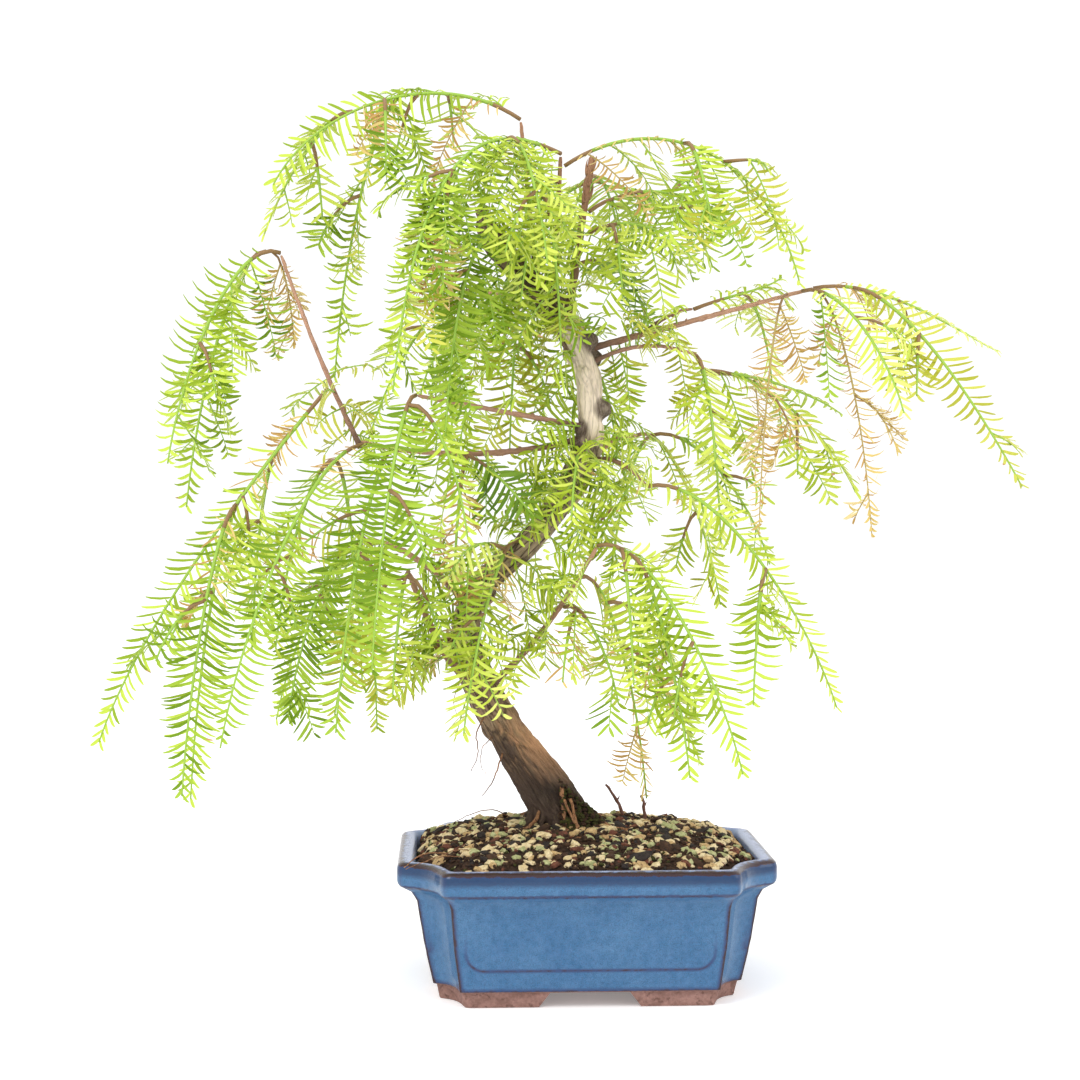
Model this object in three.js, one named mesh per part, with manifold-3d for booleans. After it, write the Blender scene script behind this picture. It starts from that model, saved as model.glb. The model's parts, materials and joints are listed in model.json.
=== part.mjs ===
// Bonsai dawn redwood in a glazed rectangular pot.
// Millimetres, +Z up. The pot stands on z = 0; +X is to the right of its front, +Y is towards its back.
// Every limb and shoot is a tapered arch given by a few sizes, and the foliage grows from the boughs by rule.
import * as THREE from 'three';
import { mergeVertices } from 'three/addons/utils/BufferGeometryUtils.js';
import Module from 'manifold-3d';

const wasm = await Module();
wasm.setup();

// ---- Driving dimensions ----

const GAP = 0.3; // clearance between neighbouring solids

// Plan sizes of the pot at each height: half width, half depth, and the scoop cut out of each corner.
const POT_OUTSIDE = [
  { z: 0, halfWidth: 70, halfDepth: 59.5, scoopX: 11.5, scoopY: 19 },
  { z: 7, halfWidth: 71.3, halfDepth: 60.8, scoopX: 11.5, scoopY: 19 },
  { z: 7.8, halfWidth: 73, halfDepth: 62.5, scoopX: 12.5, scoopY: 19 },
  { z: 28, halfWidth: 77.6, halfDepth: 66, scoopX: 14.5, scoopY: 20.5 },
  { z: 47, halfWidth: 80.6, halfDepth: 68.2, scoopX: 16, scoopY: 22.5 },
  { z: 51, halfWidth: 83.5, halfDepth: 70.4, scoopX: 17.5, scoopY: 24.5 },
  { z: 53.6, halfWidth: 89, halfDepth: 74.3, scoopX: 20, scoopY: 27 },
  { z: 55, halfWidth: 90, halfDepth: 75, scoopX: 20.7, scoopY: 28 },
  { z: 63, halfWidth: 90, halfDepth: 75, scoopX: 20.7, scoopY: 28 },
  { z: 64.8, halfWidth: 88.6, halfDepth: 73.6, scoopX: 20.5, scoopY: 27.5 },
];
const POT_INSIDE = [
  { z: 13, halfWidth: 66.5, halfDepth: 56.5, scoopX: 12, scoopY: 17 },
  { z: 46, halfWidth: 75, halfDepth: 62.5, scoopX: 13.5, scoopY: 20 },
  { z: 57, halfWidth: 81, halfDepth: 66.5, scoopX: 17, scoopY: 24 },
  { z: 66, halfWidth: 81.5, halfDepth: 67, scoopX: 17, scoopY: 24 },
];
const SCOOP_STEPS = 4; // facets in each scooped corner
const UNDERSIDE = { halfWidth: 61, halfDepth: 50, scoopX: 13, scoopY: 17 };
const FOOT_GAP = { height: 7, slope: 6, frontHalfWidth: 18.5, sideHalfWidth: 13 };

const GROUND = 73.5; // top of the soil mound, where the trunk is cut flat
const SOIL_EDGE = 61.3; // height of the soil where it meets the pot
const MOUND = { x: -3, y: 6 }; // centre of the mound
const MOUND_RINGS = [
  { rise: 3.2, inset: 5 },
  { rise: 6.8, inset: 14 },
  { rise: 10, inset: 29 },
  { rise: GROUND - SOIL_EDGE, inset: 41 },
];

// The main stones of the gravel lie on an even spread of places, half sunk, clear of the pot and the wood.
const STONES = {
  tried: 82,
  spreadX: 0.7548776662,
  spreadY: 0.5698402909,
  spreadSize: 0.618034,
  halfSizes: [1.7, 3.1],
  length: 1.3,
  height: 0.72,
  sunk: 0.25,
  clearOfPot: 4,
  clearOfTrunk: 31,
  clearOfSprout: 6,
};

// Stations up the trunk: right, back, height, radius.
const TRUNK = [
  [-6, 12.5, 70, 14.5],
  [-13, 11.5, 84, 13.2],
  [-34, 9, 114, 10.4],
  [-46, 7, 135, 9],
  [-56, 4, 159, 8.1],
  [-57, 2, 176, 7],
  [-49, 0, 192, 6.9],
  [-24, -4, 217, 6.6],
  [-4, -6, 245, 7.6],
  [4, -5, 268, 6.6],
  [3, -3, 293, 6.6],
  [-3, 0, 314, 7.9],
  [-15, 2, 332, 7],
  [-33, 4, 350, 6.2],
  [-44, 5, 364, 7],
  [-48, 6, 374, 4.5],
];
const TRUNK_SIDES = 10;
const TRUNK_STEPS = 27;

// Surface roots that spread from the foot of the trunk: bearing in degrees and reach from its centre.
const ROOT_FLARE = [
  { bearing: -35, reach: 27, radius: 4.2 },
  { bearing: 20, reach: 24, radius: 3.6 },
  { bearing: 85, reach: 20, radius: 3.6 },
  { bearing: 150, reach: 22, radius: 4.0 },
  { bearing: 205, reach: 21, radius: 4.4 },
  { bearing: 262, reach: 23, radius: 3.8 },
];
const ROOT_TOP = 88; // height at which a root leaves the trunk

// Bleached splinters of the broken apex: right, back and up from the last station of the trunk.
const SPLINTERS = [
  { from: 15, tip: [-1, 1, 13], radius: 3.2 },
  { from: 14, tip: [8, -2, 6], radius: 2.6 },
  { from: 14, tip: [-9, 2, 7], radius: 2.4 },
];

// A bough: what it grows on, how far along that it starts, its tip measured from its start
// (right, back, up), how high it arches above the straight line, and its radii at start and tip.
const BOUGHS = {
  bough_low_left: { on: 'trunk', at: 0.27, tip: [-25, -24, 50], arch: -6, radii: [2.1, 1.2] },
  bough_low_right: { on: 'trunk', at: 0.24, tip: [47, -33, 66], arch: -6, radii: [1.7, 1.0] },
  bough_mid_right: { on: 'trunk', at: 0.62, tip: [22, -14, -12], arch: 4, radii: [1.2, 0.8] },
  bough_high_right: { on: 'trunk', at: 0.767, tip: [107, -2, 29], arch: 0, radii: [1.7, 0.9] },
  bough_fork_right: { on: 'bough_high_right', at: 0.27, tip: [20, 5, 9], arch: 2, radii: [1.1, 0.8] },
  bough_side_right: { on: 'trunk', at: 0.75, tip: [44, -14, 2], arch: 5, radii: [1.1, 0.8] },
  bough_mid_left: { on: 'trunk', at: 0.66, tip: [-78, -36, 13], arch: 0, radii: [1.4, 0.9] },
  bough_long_left: { on: 'trunk', at: 0.635, tip: [-103, -14, -1], arch: -6, radii: [1.6, 1.2] },
  bough_left_rise: { on: 'bough_long_left', at: 1, tip: [-38, 16, 91], arch: -4, radii: [1.3, 0.8] },
  leader_left: { on: 'trunk', at: 0.9, tip: [-7, 3, 71], arch: 0, radii: [1.3, 0.9] },
  leader_centre: { on: 'trunk', at: 0.865, tip: [3, -4, 61], arch: 0, radii: [1.5, 1.0] },
  leader_right: { on: 'trunk', at: 0.835, tip: [11, 8, 72], arch: 0, radii: [2.0, 1.5] },
  bough_back_low: { on: 'trunk', at: 0.36, tip: [-42, 52, 26], arch: 4, radii: [2.2, 1.2] },
  bough_back_mid: { on: 'trunk', at: 0.61, tip: [30, 56, 16], arch: 4, radii: [2.0, 1.1] },
  bough_back_high: { on: 'trunk', at: 0.8, tip: [-38, 54, 26], arch: 5, radii: [1.8, 1.1] },
};
const BOUGH_SIDES = 6;
const BOUGH_STEP = 14; // length of one facet along a bough

const SPROUTS = {
  dead_sprout_left: { foot: [24, 28], tip: [-10, 4, 16], radii: [1.0, 0.7] },
  dead_sprout_right: { foot: [32, 19], tip: [-1, 2, 12], radii: [1.0, 0.7] },
};

// A mass of foliage: what it grows on and where, and its shoots. The first shoot is the mass's stem, and
// the others spring from it at a fraction of its length. Every tip is measured from the mass's root
// (right, back, up), rise is how far a shoot climbs before it weeps, and hang is how far it falls straight.
const FOLIAGE = {
  mass_top_left: { on: 'leader_left', at: 1, shoots: [
    { tip: [-119, -34, -38], rise: 26, hang: 38 },
    { from: 0.5, tip: [-65, -48, -34], rise: 2, hang: 22 },
    { from: 0.28, tip: [-33, 18, -12], rise: 4, hang: 14 },
    { from: 0.62, tip: [-128, 20, -55], rise: 4, hang: 18 },
    { from: 0.42, tip: [-94, 42, -126], rise: 8, hang: 74 },
  ] },
  mass_centre_cascade: { on: 'leader_centre', at: 1, shoots: [
    { tip: [-80, -82, -121], rise: 8, hang: 132 },
    { from: 0.42, tip: [-58, -60, -80], rise: 4, hang: 40 },
    { from: 0.2, tip: [-10, -72, -62], rise: 4, hang: 32 },
  ] },
  mass_top_right: { on: 'leader_centre', at: 0.93, shoots: [
    { tip: [111, -32, -61], rise: 26, hang: 72 },
    { from: 0.4, tip: [66, -56, -44], rise: 2, hang: 26 },
  ] },
  mass_right_high: { on: 'leader_right', at: 0.62, shoots: [
    { tip: [66, 34, -24], rise: 20, hang: 30 },
    { from: 0.2, tip: [84, 52, -6], rise: 12, hang: 16 },
  ] },
  mass_right_front: { on: 'leader_right', at: 0.45, shoots: [
    { tip: [54, -20, -20], rise: 12, hang: 20 },
    { from: 0.2, tip: [16, -27, -34], rise: 2, hang: 18 },
  ] },
  mass_right_back: { on: 'leader_right', at: 0.26, shoots: [
    { tip: [40, 44, -36], rise: 8, hang: 34 },
  ] },
  mass_back_top: { on: 'leader_right', at: 0.85, shoots: [
    { tip: [24, 84, -42], rise: 12, hang: 36 },
    { from: 0.3, tip: [-36, 70, -46], rise: 6, hang: 30 },
  ] },
  mass_crown_left: { on: 'trunk', at: 0.94, shoots: [
    { tip: [-30, -56, -92], rise: 18, hang: 84 },
  ] },
  mass_trunk_back: { on: 'trunk', at: 0.9, shoots: [
    { tip: [-8, 44, -88], rise: 10, hang: 56 },
    { from: 0.3, tip: [-54, 40, -58], rise: 6, hang: 34 },
  ] },
  mass_front_top: { on: 'leader_centre', at: 0.8, shoots: [
    { tip: [-19, -32, -62], rise: 6, hang: 30 },
    { from: 0.25, tip: [0, -34, -84], rise: 2, hang: 40 },
  ] },
  mass_front_mid: { on: 'trunk', at: 0.625, shoots: [
    { tip: [-7, -28, -34], rise: 4, hang: 18 },
  ] },
  mass_front_low: { on: 'trunk', at: 0.47, shoots: [
    { tip: [-27, -42, -90], rise: 6, hang: 36 },
    { from: 0.12, tip: [-30, -36, -10], rise: 6, hang: 10 },
  ] },
  mass_centre_left: { on: 'bough_mid_left', at: 1, shoots: [
    { tip: [-19, -46, -126], rise: 2, hang: 60 },
    { from: 0.08, tip: [24, -22, -66], rise: 4, hang: 34 },
  ] },
  mass_inner_left: { on: 'bough_long_left', at: 0.55, shoots: [
    { tip: [36, -16, -30], rise: 0, hang: 6 },
    { from: 0.1, tip: [-2, -8, -66], rise: 0, hang: 34 },
  ] },
  mass_left_front: { on: 'bough_long_left', at: 0.84, shoots: [
    { tip: [-26, -48, -131], rise: 2, hang: 60 },
    { from: 0.28, tip: [-50, -10, -52], rise: 0, hang: 6 },
  ] },
  mass_left_low: { on: 'bough_long_left', at: 0.97, shoots: [
    { tip: [-62, -74, -136], rise: 2, hang: 60 },
    { from: 0.14, tip: [-4, 34, -118], rise: 0, hang: 60 },
    { from: 0.14, tip: [-46, 26, -100], rise: 4, hang: 44 },
  ] },
  mass_left_sweep: { on: 'bough_left_rise', at: 0.3, shoots: [
    { tip: [-104, -34, -166], rise: -44, hang: 50 },
    { from: 0.36, tip: [-63, -56, -188], rise: -6, hang: 60 },
    { from: 0.32, tip: [-67, 8, -199], rise: -6, hang: 80 },
    { from: 0.2, tip: [-40, 34, -130], rise: -4, hang: 60 },
  ] },
  mass_left_outer: { on: 'bough_left_rise', at: 1, shoots: [
    { tip: [-51, -26, -103], rise: 8, hang: 56 },
    { from: 0.06, tip: [-48, 20, -124], rise: 4, hang: 60 },
    { from: 0.04, tip: [6, 10, -44], rise: 2, hang: 28 },
  ] },
  mass_right_tip: { on: 'bough_high_right', at: 1, shoots: [
    { tip: [95, 12, -30], rise: 8, hang: 6 },
    { from: 0.2, tip: [94, -36, -98], rise: -4, hang: 24 },
  ] },
  mass_right_spray: { on: 'bough_high_right', at: 0.95, shoots: [
    { tip: [38, -56, -62], rise: 4, hang: 30 },
    { from: 0.1, tip: [30, -22, -120], rise: -2, hang: 64 },
  ] },
  mass_right_straw: { on: 'bough_high_right', at: 0.88, shoots: [
    { tip: [-18, -28, -118], rise: 2, hang: 66 },
  ] },
  mass_fork_right: { on: 'bough_fork_right', at: 1, shoots: [
    { tip: [46, 12, 17], rise: 7, hang: -6 },
    { from: 0.5, tip: [46, 44, -34], rise: 6, hang: 28 },
  ] },
  mass_side_right: { on: 'bough_side_right', at: 1, shoots: [
    { tip: [19, 37, -94], rise: 2, hang: 64 },
    { from: 0.18, tip: [81, 42, -28], rise: 4, hang: 8 },
    { from: 0.16, tip: [90, 50, -68], rise: 4, hang: 28 },
    { from: 0.06, tip: [9, -18, -53], rise: 0, hang: 26 },
  ] },
  mass_trunk_right: { on: 'trunk', at: 0.74, shoots: [
    { tip: [16, 42, -42], rise: 4, hang: 26 },
  ] },
  mass_low_right_top: { on: 'bough_mid_right', at: 1, shoots: [
    { tip: [87, -26, -104], rise: 8, hang: 44 },
    { from: 0.5, tip: [45, -44, -101], rise: 0, hang: 30 },
  ] },
  mass_low_right: { on: 'bough_low_right', at: 1, shoots: [
    { tip: [63, -48, -103], rise: 8, hang: 44 },
    { from: 0.14, tip: [40, -38, -106], rise: 0, hang: 40 },
    { from: 0.1, tip: [14, -38, -63], rise: 0, hang: 26 },
  ] },
  mass_low_middle: { on: 'bough_low_right', at: 0.62, shoots: [
    { tip: [24, -28, -44], rise: 6, hang: 22 },
    { from: 0.15, tip: [-2, -24, -34], rise: 2, hang: 16 },
  ] },
  mass_low_right_back: { on: 'bough_low_right', at: 0.8, shoots: [
    { tip: [36, 43, -113], rise: 6, hang: 60 },
    { from: 0.2, tip: [62, 60, -74], rise: 4, hang: 30 },
  ] },
  mass_low_left: { on: 'bough_low_left', at: 1, shoots: [
    { tip: [-7, -22, -58], rise: 2, hang: 26 },
    { from: 0.1, tip: [-36, 14, -70], rise: 4, hang: 32 },
    { from: 0.08, tip: [16, -2, -38], rise: 2, hang: 16 },
  ] },
  mass_back_low: { on: 'bough_back_low', at: 1, shoots: [
    { tip: [-58, 54, -98], rise: 10, hang: 44 },
    { from: 0.12, tip: [-4, 72, -106], rise: 6, hang: 50 },
    { from: 0.1, tip: [-48, 6, -92], rise: 6, hang: 44 },
  ] },
  mass_back_mid: { on: 'bough_back_mid', at: 1, shoots: [
    { tip: [52, 60, -92], rise: 10, hang: 44 },
    { from: 0.12, tip: [-10, 74, -96], rise: 6, hang: 46 },
    { from: 0.1, tip: [72, 12, -68], rise: 8, hang: 34 },
  ] },
  mass_back_high: { on: 'bough_back_high', at: 1, shoots: [
    { tip: [-66, 50, -82], rise: 14, hang: 40 },
    { from: 0.12, tip: [-20, 76, -98], rise: 8, hang: 50 },
    { from: 0.1, tip: [34, 52, -74], rise: 8, hang: 40 },
  ] },
};

// A shoot: a four-sided twig whose rib carries a toothed blade, each tooth a tuft of merged needles.
const NEEDLE = 15.5; // reach of a full tooth to each side of its shoot
const TOOTH_PITCH = 17; // length of shoot that one pair of teeth takes
const SWEEP = 0.32; // forward lean of a tooth, as a share of the pitch
const TWIG = { halfWidth: 1.1, halfThickness: 0.8 };
const BARE_TWIG = 9; // bare foot of a shoot below its first needles
const TOOTH_FOOT = 3.6; // half width of the space kept for a tooth at its foot
const TOOTH_END = 1.4; // and near its tip
const BRANCHLET = { stemLength: 85, reach: 34, earliest: 0.3, latest: 0.6 };
const CROWN_FLOOR = 84; // nothing grows lower than this
const SEED = 1937;

// ---- Materials ----

const GLAZE = new THREE.MeshStandardMaterial({ color: 0x3f6fa8, roughness: 0.25, metalness: 0 });
const EARTH = new THREE.MeshStandardMaterial({ color: 0x4a3826, roughness: 0.95, metalness: 0 });
const BARK = new THREE.MeshStandardMaterial({ color: 0x8a7256, roughness: 0.9, metalness: 0 });
const YOUNG_BARK = new THREE.MeshStandardMaterial({ color: 0x8c5a34, roughness: 0.8, metalness: 0 });
const LEAF = new THREE.MeshStandardMaterial({ color: 0x7cc22c, roughness: 0.6, metalness: 0 });

// ---- Solids ----

/** Gives the same run of numbers between 0 and 1 for the same seed. */
function seededNumbers(seed) {
  let state = seed >>> 0;
  return () => {
    state = (Math.imul(state, 1664525) + 1013904223) >>> 0;
    return state / 4294967296;
  };
}

/** Turns a closed three.js geometry into a solid that can be joined and cut. */
function solidOf(geometry) {
  const bare = geometry.clone();
  bare.deleteAttribute('normal');
  bare.deleteAttribute('uv');
  const merged = mergeVertices(bare, 1e-4);
  return new wasm.Manifold(new wasm.Mesh({
    numProp: 3,
    vertProperties: new Float32Array(merged.attributes.position.array),
    triVerts: new Uint32Array(merged.index.array),
  }));
}

/** Turns a solid into a named mesh; a loose scrap left by a cut is dropped. */
function meshOf(name, solid, material) {
  const pieces = solid.decompose();
  pieces.sort((first, second) => second.volume() - first.volume());
  const { vertProperties, triVerts } = pieces[0].getMesh();
  const geometry = new THREE.BufferGeometry();
  geometry.setAttribute('position', new THREE.BufferAttribute(new Float32Array(vertProperties), 3));
  geometry.setIndex(new THREE.BufferAttribute(new Uint32Array(triVerts), 1));
  geometry.computeVertexNormals();
  const mesh = new THREE.Mesh(geometry, material);
  mesh.name = name;
  return mesh;
}

/** Bends a unit cylinder with rings: place(ring, x, y) says where that point of the ring goes. */
function bentCylinder(sides, rings, place) {
  const geometry = new THREE.CylinderGeometry(1, 1, rings, sides, rings);
  geometry.rotateX(Math.PI / 2);
  const position = geometry.attributes.position;
  for (let i = 0; i < position.count; i += 1) {
    const ring = Math.round(position.getZ(i) + rings / 2);
    const point = place(ring, position.getX(i), position.getY(i));
    position.setXYZ(i, point.x, point.y, point.z);
  }
  return geometry;
}

/** A tapered limb along a curve, with its radius given as a function of the fraction along it. */
function limbSolid(curve, radiusAt, sides, steps) {
  const frames = curve.computeFrenetFrames(steps, false);
  return solidOf(bentCylinder(sides, steps, (ring, x, y) => {
    const radius = radiusAt(ring / steps);
    return curve.getPointAt(ring / steps)
      .addScaledVector(frames.normals[ring], x * radius)
      .addScaledVector(frames.binormals[ring], y * radius);
  }));
}

/** Outline of a rectangle whose corners are scooped out, anticlockwise from the front right corner. */
function scoopedOutline({ halfWidth, halfDepth, scoopX, scoopY }) {
  const points = [];
  for (const [signX, signY] of [[1, -1], [1, 1], [-1, 1], [-1, -1]]) {
    for (let step = 0; step <= SCOOP_STEPS; step += 1) {
      const fromFront = signX * signY < 0 ? step : SCOOP_STEPS - step;
      const angle = (fromFront / SCOOP_STEPS) * (Math.PI / 2);
      points.push(new THREE.Vector2(
        signX * (halfWidth - scoopX * Math.cos(angle)),
        signY * (halfDepth - scoopY * Math.sin(angle)),
      ));
    }
  }
  return points;
}

/** A closed stack of scooped outlines, one at each level. */
function stackSolid(levels) {
  const outlines = levels.map(scoopedOutline);
  const sides = outlines[0].length;
  return solidOf(bentCylinder(sides, levels.length - 1, (ring, x, y) => {
    const level = levels[ring];
    const centre = new THREE.Vector2(level.x ?? 0, level.y ?? 0);
    if (Math.hypot(x, y) < 0.5) {
      return new THREE.Vector3(centre.x, centre.y, level.z);
    }
    const turn = (Math.atan2(y, x) + Math.PI / 2) / (2 * Math.PI);
    const point = outlines[ring][(Math.round(turn * sides) + sides) % sides];
    return new THREE.Vector3(centre.x + point.x, centre.y + point.y, level.z);
  }));
}

// ---- Pot and soil ----

/** A trapezoid cut right through the foot of the pot along Y, narrower at its top. */
function footGapSolid(halfWidth) {
  const { height, slope } = FOOT_GAP;
  const outline = new THREE.Shape([
    new THREE.Vector2(-halfWidth - slope, -1),
    new THREE.Vector2(halfWidth + slope, -1),
    new THREE.Vector2(halfWidth, height),
    new THREE.Vector2(-halfWidth, height),
  ]);
  const length = 240;
  const prism = new THREE.ExtrudeGeometry(outline, { depth: length, bevelEnabled: false });
  prism.rotateX(Math.PI / 2);
  prism.translate(0, length / 2, 0);
  return prism;
}

function potSolid() {
  const recess = [
    { ...UNDERSIDE, z: -1 },
    { ...UNDERSIDE, z: FOOT_GAP.height },
  ];
  const sideGap = footGapSolid(FOOT_GAP.sideHalfWidth);
  sideGap.rotateZ(Math.PI / 2);
  return stackSolid(POT_OUTSIDE)
    .subtract(stackSolid(POT_INSIDE))
    .subtract(stackSolid(recess))
    .subtract(solidOf(footGapSolid(FOOT_GAP.frontHalfWidth)))
    .subtract(solidOf(sideGap));
}

/** The plan of the soil at a level of the pot's inside, shrunk by a distance all round. */
function soilLevel(inside, z, inset) {
  return {
    z,
    halfWidth: inside.halfWidth - inset,
    halfDepth: inside.halfDepth - inset,
    scoopX: inside.scoopX,
    scoopY: inside.scoopY,
  };
}

/** The mound of soil without its stones. */
function moundSolid() {
  const [floor, wall, lip] = POT_INSIDE;
  const levels = [
    soilLevel(floor, floor.z + GAP, GAP * 2),
    soilLevel(wall, wall.z, GAP * 2),
    soilLevel(lip, lip.z, GAP * 2),
    soilLevel(lip, SOIL_EDGE, GAP * 2),
  ];
  for (const { rise, inset } of MOUND_RINGS) {
    const share = inset / MOUND_RINGS[MOUND_RINGS.length - 1].inset;
    const scoop = 1 - 0.45 * share;
    levels.push({
      x: MOUND.x * share,
      y: MOUND.y * share,
      z: SOIL_EDGE + rise,
      halfWidth: lip.halfWidth - inset,
      halfDepth: lip.halfDepth - inset,
      scoopX: lip.scoopX * scoop,
      scoopY: lip.scoopY * scoop,
    });
  }
  return stackSolid(levels);
}

/** Whether a place on the plan is on the soil, in from the pot by a margin, also at its scooped corners. */
function onSoil(x, y, margin) {
  const { halfWidth, halfDepth, scoopX, scoopY } = POT_INSIDE[2];
  const fromSide = halfWidth - margin - Math.abs(x);
  const fromFront = halfDepth - margin - Math.abs(y);
  return Math.min(fromSide, fromFront) > 0 && Math.hypot(fromSide / scoopX, fromFront / scoopY) > 1;
}

/** Whether a place on the plan is clear of the trunk's flared foot and of the sprouts. */
function clearOfWood(x, y) {
  const [footX, footY] = TRUNK[0];
  const fromTrunk = Math.hypot(x - footX, y - footY);
  const fromSprouts = Object.values(SPROUTS).map(({ foot }) => Math.hypot(x - foot[0], y - foot[1]));
  return fromTrunk > STONES.clearOfTrunk && Math.min(...fromSprouts) > STONES.clearOfSprout;
}

/** Places, half sizes and turns of the main stones. */
function stonePlaces() {
  const { tried, spreadX, spreadY, spreadSize, halfSizes, clearOfPot } = STONES;
  const { halfWidth, halfDepth } = POT_INSIDE[2];
  const places = [];
  for (let i = 1; i <= tried; i += 1) {
    const x = halfWidth * (2 * ((i * spreadX) % 1) - 1);
    const y = halfDepth * (2 * ((i * spreadY) % 1) - 1);
    const half = THREE.MathUtils.lerp(halfSizes[0], halfSizes[1], (i * spreadSize) % 1);
    if (onSoil(x, y, clearOfPot + half) && clearOfWood(x, y)) {
      places.push({ x, y, half, turn: i });
    }
  }
  return places;
}

function soilSolid() {
  const mound = moundSolid();
  const surface = meshOf('mound', mound, EARTH);
  const down = new THREE.Vector3(0, 0, -1);
  const stones = stonePlaces().map(({ x, y, half, turn }) => {
    const [{ point }] = new THREE.Raycaster(new THREE.Vector3(x, y, 200), down).intersectObject(surface);
    const stone = new THREE.IcosahedronGeometry(half, 0);
    stone.scale(STONES.length, 1, STONES.height);
    stone.rotateZ(turn);
    stone.translate(x, y, point.z + half * STONES.height * (1 - 2 * STONES.sunk));
    return solidOf(stone);
  });
  return stones.reduce((whole, stone) => whole.add(stone), mound);
}

// ---- Limbs ----

/** Every limb that shoots can grow on: its curve and its radius at each fraction. */
const limbs = new Map();

/** Capsules that already hold wood or foliage, each with its node and the number of its shoot there. */
const taken = [];

/** Notes the space of a limb or tooth as capsules between the given points. */
function takeSpace(owner, points, radiusAt) {
  for (let i = 1; i < points.length; i += 1) {
    const radius = radiusAt((i - 0.5) / (points.length - 1));
    taken.push({ owner, line: new THREE.Line3(points[i - 1], points[i]), radius });
  }
}

/** Says whether something taken is the owner's own: the same node and, where one is given, shoot. */
function isSame(owner, other) {
  return other.node === owner.node && (owner.shoot === undefined || other.shoot === owner.shoot);
}

/** Says whether a straight run, thick at its foot and thin at its end, would touch another node. */
function isTaken(owner, start, end, footRadius, endRadius) {
  const samples = Math.max(2, Math.ceil(start.distanceTo(end) / 3));
  const point = new THREE.Vector3();
  const nearest = new THREE.Vector3();
  for (const space of taken) {
    if (isSame(owner, space.owner)) {
      continue;
    }
    for (let i = 0; i <= samples; i += 1) {
      const share = i / samples;
      point.lerpVectors(start, end, share);
      space.line.closestPointToPoint(point, true, nearest);
      const room = space.radius + THREE.MathUtils.lerp(footRadius, endRadius, share);
      if (nearest.distanceTo(point) < room) {
        return true;
      }
    }
  }
  return false;
}

function vector([x, y, z]) {
  return new THREE.Vector3(x, y, z);
}

/** The arch of a bough: it leaves its foot, bows up or down by arch, and ends at its tip. */
function boughCurve(foot, tip, arch) {
  const span = tip.clone().sub(foot);
  const bow = new THREE.Vector3(0, 0, arch * 1.3);
  return new THREE.CubicBezierCurve3(
    foot.clone(),
    foot.clone().addScaledVector(span, 0.33).add(bow),
    foot.clone().addScaledVector(span, 0.67).add(bow),
    tip.clone(),
  );
}

/** The arch of a weeping shoot: it climbs by rise, then bends over and falls the last stretch straight. */
function shootCurve(root, end, rise, hang) {
  const reach = end.clone().sub(root);
  const climb = new THREE.Vector3(reach.x * 0.35, reach.y * 0.35, rise);
  const fall = new THREE.Vector3(-reach.x * 0.15, -reach.y * 0.15, hang);
  return new THREE.CubicBezierCurve3(root.clone(), root.clone().add(climb), end.clone().add(fall), end);
}

/** The point just clear of a limb where something that leads off in a direction starts. */
function seatOn(limbName, fraction, direction, radius) {
  const { curve, radiusAt } = limbs.get(limbName);
  const along = curve.getTangentAt(fraction);
  const axis = curve.getPointAt(fraction);
  const lead = direction.clone().normalize();
  if (fraction === 1 && lead.dot(along) > 0.2) {
    const edge = radius * Math.sqrt(1 - lead.dot(along) ** 2);
    return axis.addScaledVector(along, GAP + edge);
  }
  const outward = lead.clone().addScaledVector(along, -lead.dot(along)).normalize();
  const edge = radius * Math.sqrt(Math.max(0, 1 - lead.dot(outward) ** 2));
  return axis.addScaledVector(outward, radiusAt(fraction) + GAP + edge);
}

const trunkCurve = new THREE.CatmullRomCurve3(TRUNK.map(vector), false, 'centripetal');

/** Radius of the trunk, read between its stations. */
function trunkRadiusAt(fraction) {
  const reached = trunkCurve.getUtoTmapping(fraction) * (TRUNK.length - 1);
  const station = Math.min(TRUNK.length - 2, Math.floor(reached));
  return THREE.MathUtils.lerp(TRUNK[station][3], TRUNK[station + 1][3], reached - station);
}

function trunkSolid() {
  let solid = limbSolid(trunkCurve, trunkRadiusAt, TRUNK_SIDES, TRUNK_STEPS);
  const foot = trunkCurve.getPointAt(0.03);
  for (const { bearing, reach, radius } of ROOT_FLARE) {
    const angle = THREE.MathUtils.degToRad(bearing);
    const outward = new THREE.Vector3(Math.cos(angle), Math.sin(angle), 0);
    const root = new THREE.QuadraticBezierCurve3(
      foot.clone().addScaledVector(outward, 5).setZ(ROOT_TOP),
      foot.clone().addScaledVector(outward, 14).setZ(GROUND + 5),
      foot.clone().addScaledVector(outward, reach).setZ(GROUND - 1),
    );
    solid = solid.add(limbSolid(root, (share) => radius * (1.2 - 0.75 * share), 6, 4));
  }
  for (const { from, tip, radius } of SPLINTERS) {
    const start = vector(TRUNK[from]).add(new THREE.Vector3(0, 0, -4));
    const end = vector(TRUNK[from]).add(vector(tip));
    const splinter = new THREE.LineCurve3(start, end);
    solid = solid.add(limbSolid(splinter, (share) => radius * (1 - 0.8 * share), 5, 2));
  }
  const belowGround = new THREE.BoxGeometry(120, 120, 40);
  belowGround.translate(foot.x, foot.y, GROUND + GAP - 20);
  return solid.subtract(solidOf(belowGround));
}

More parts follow.
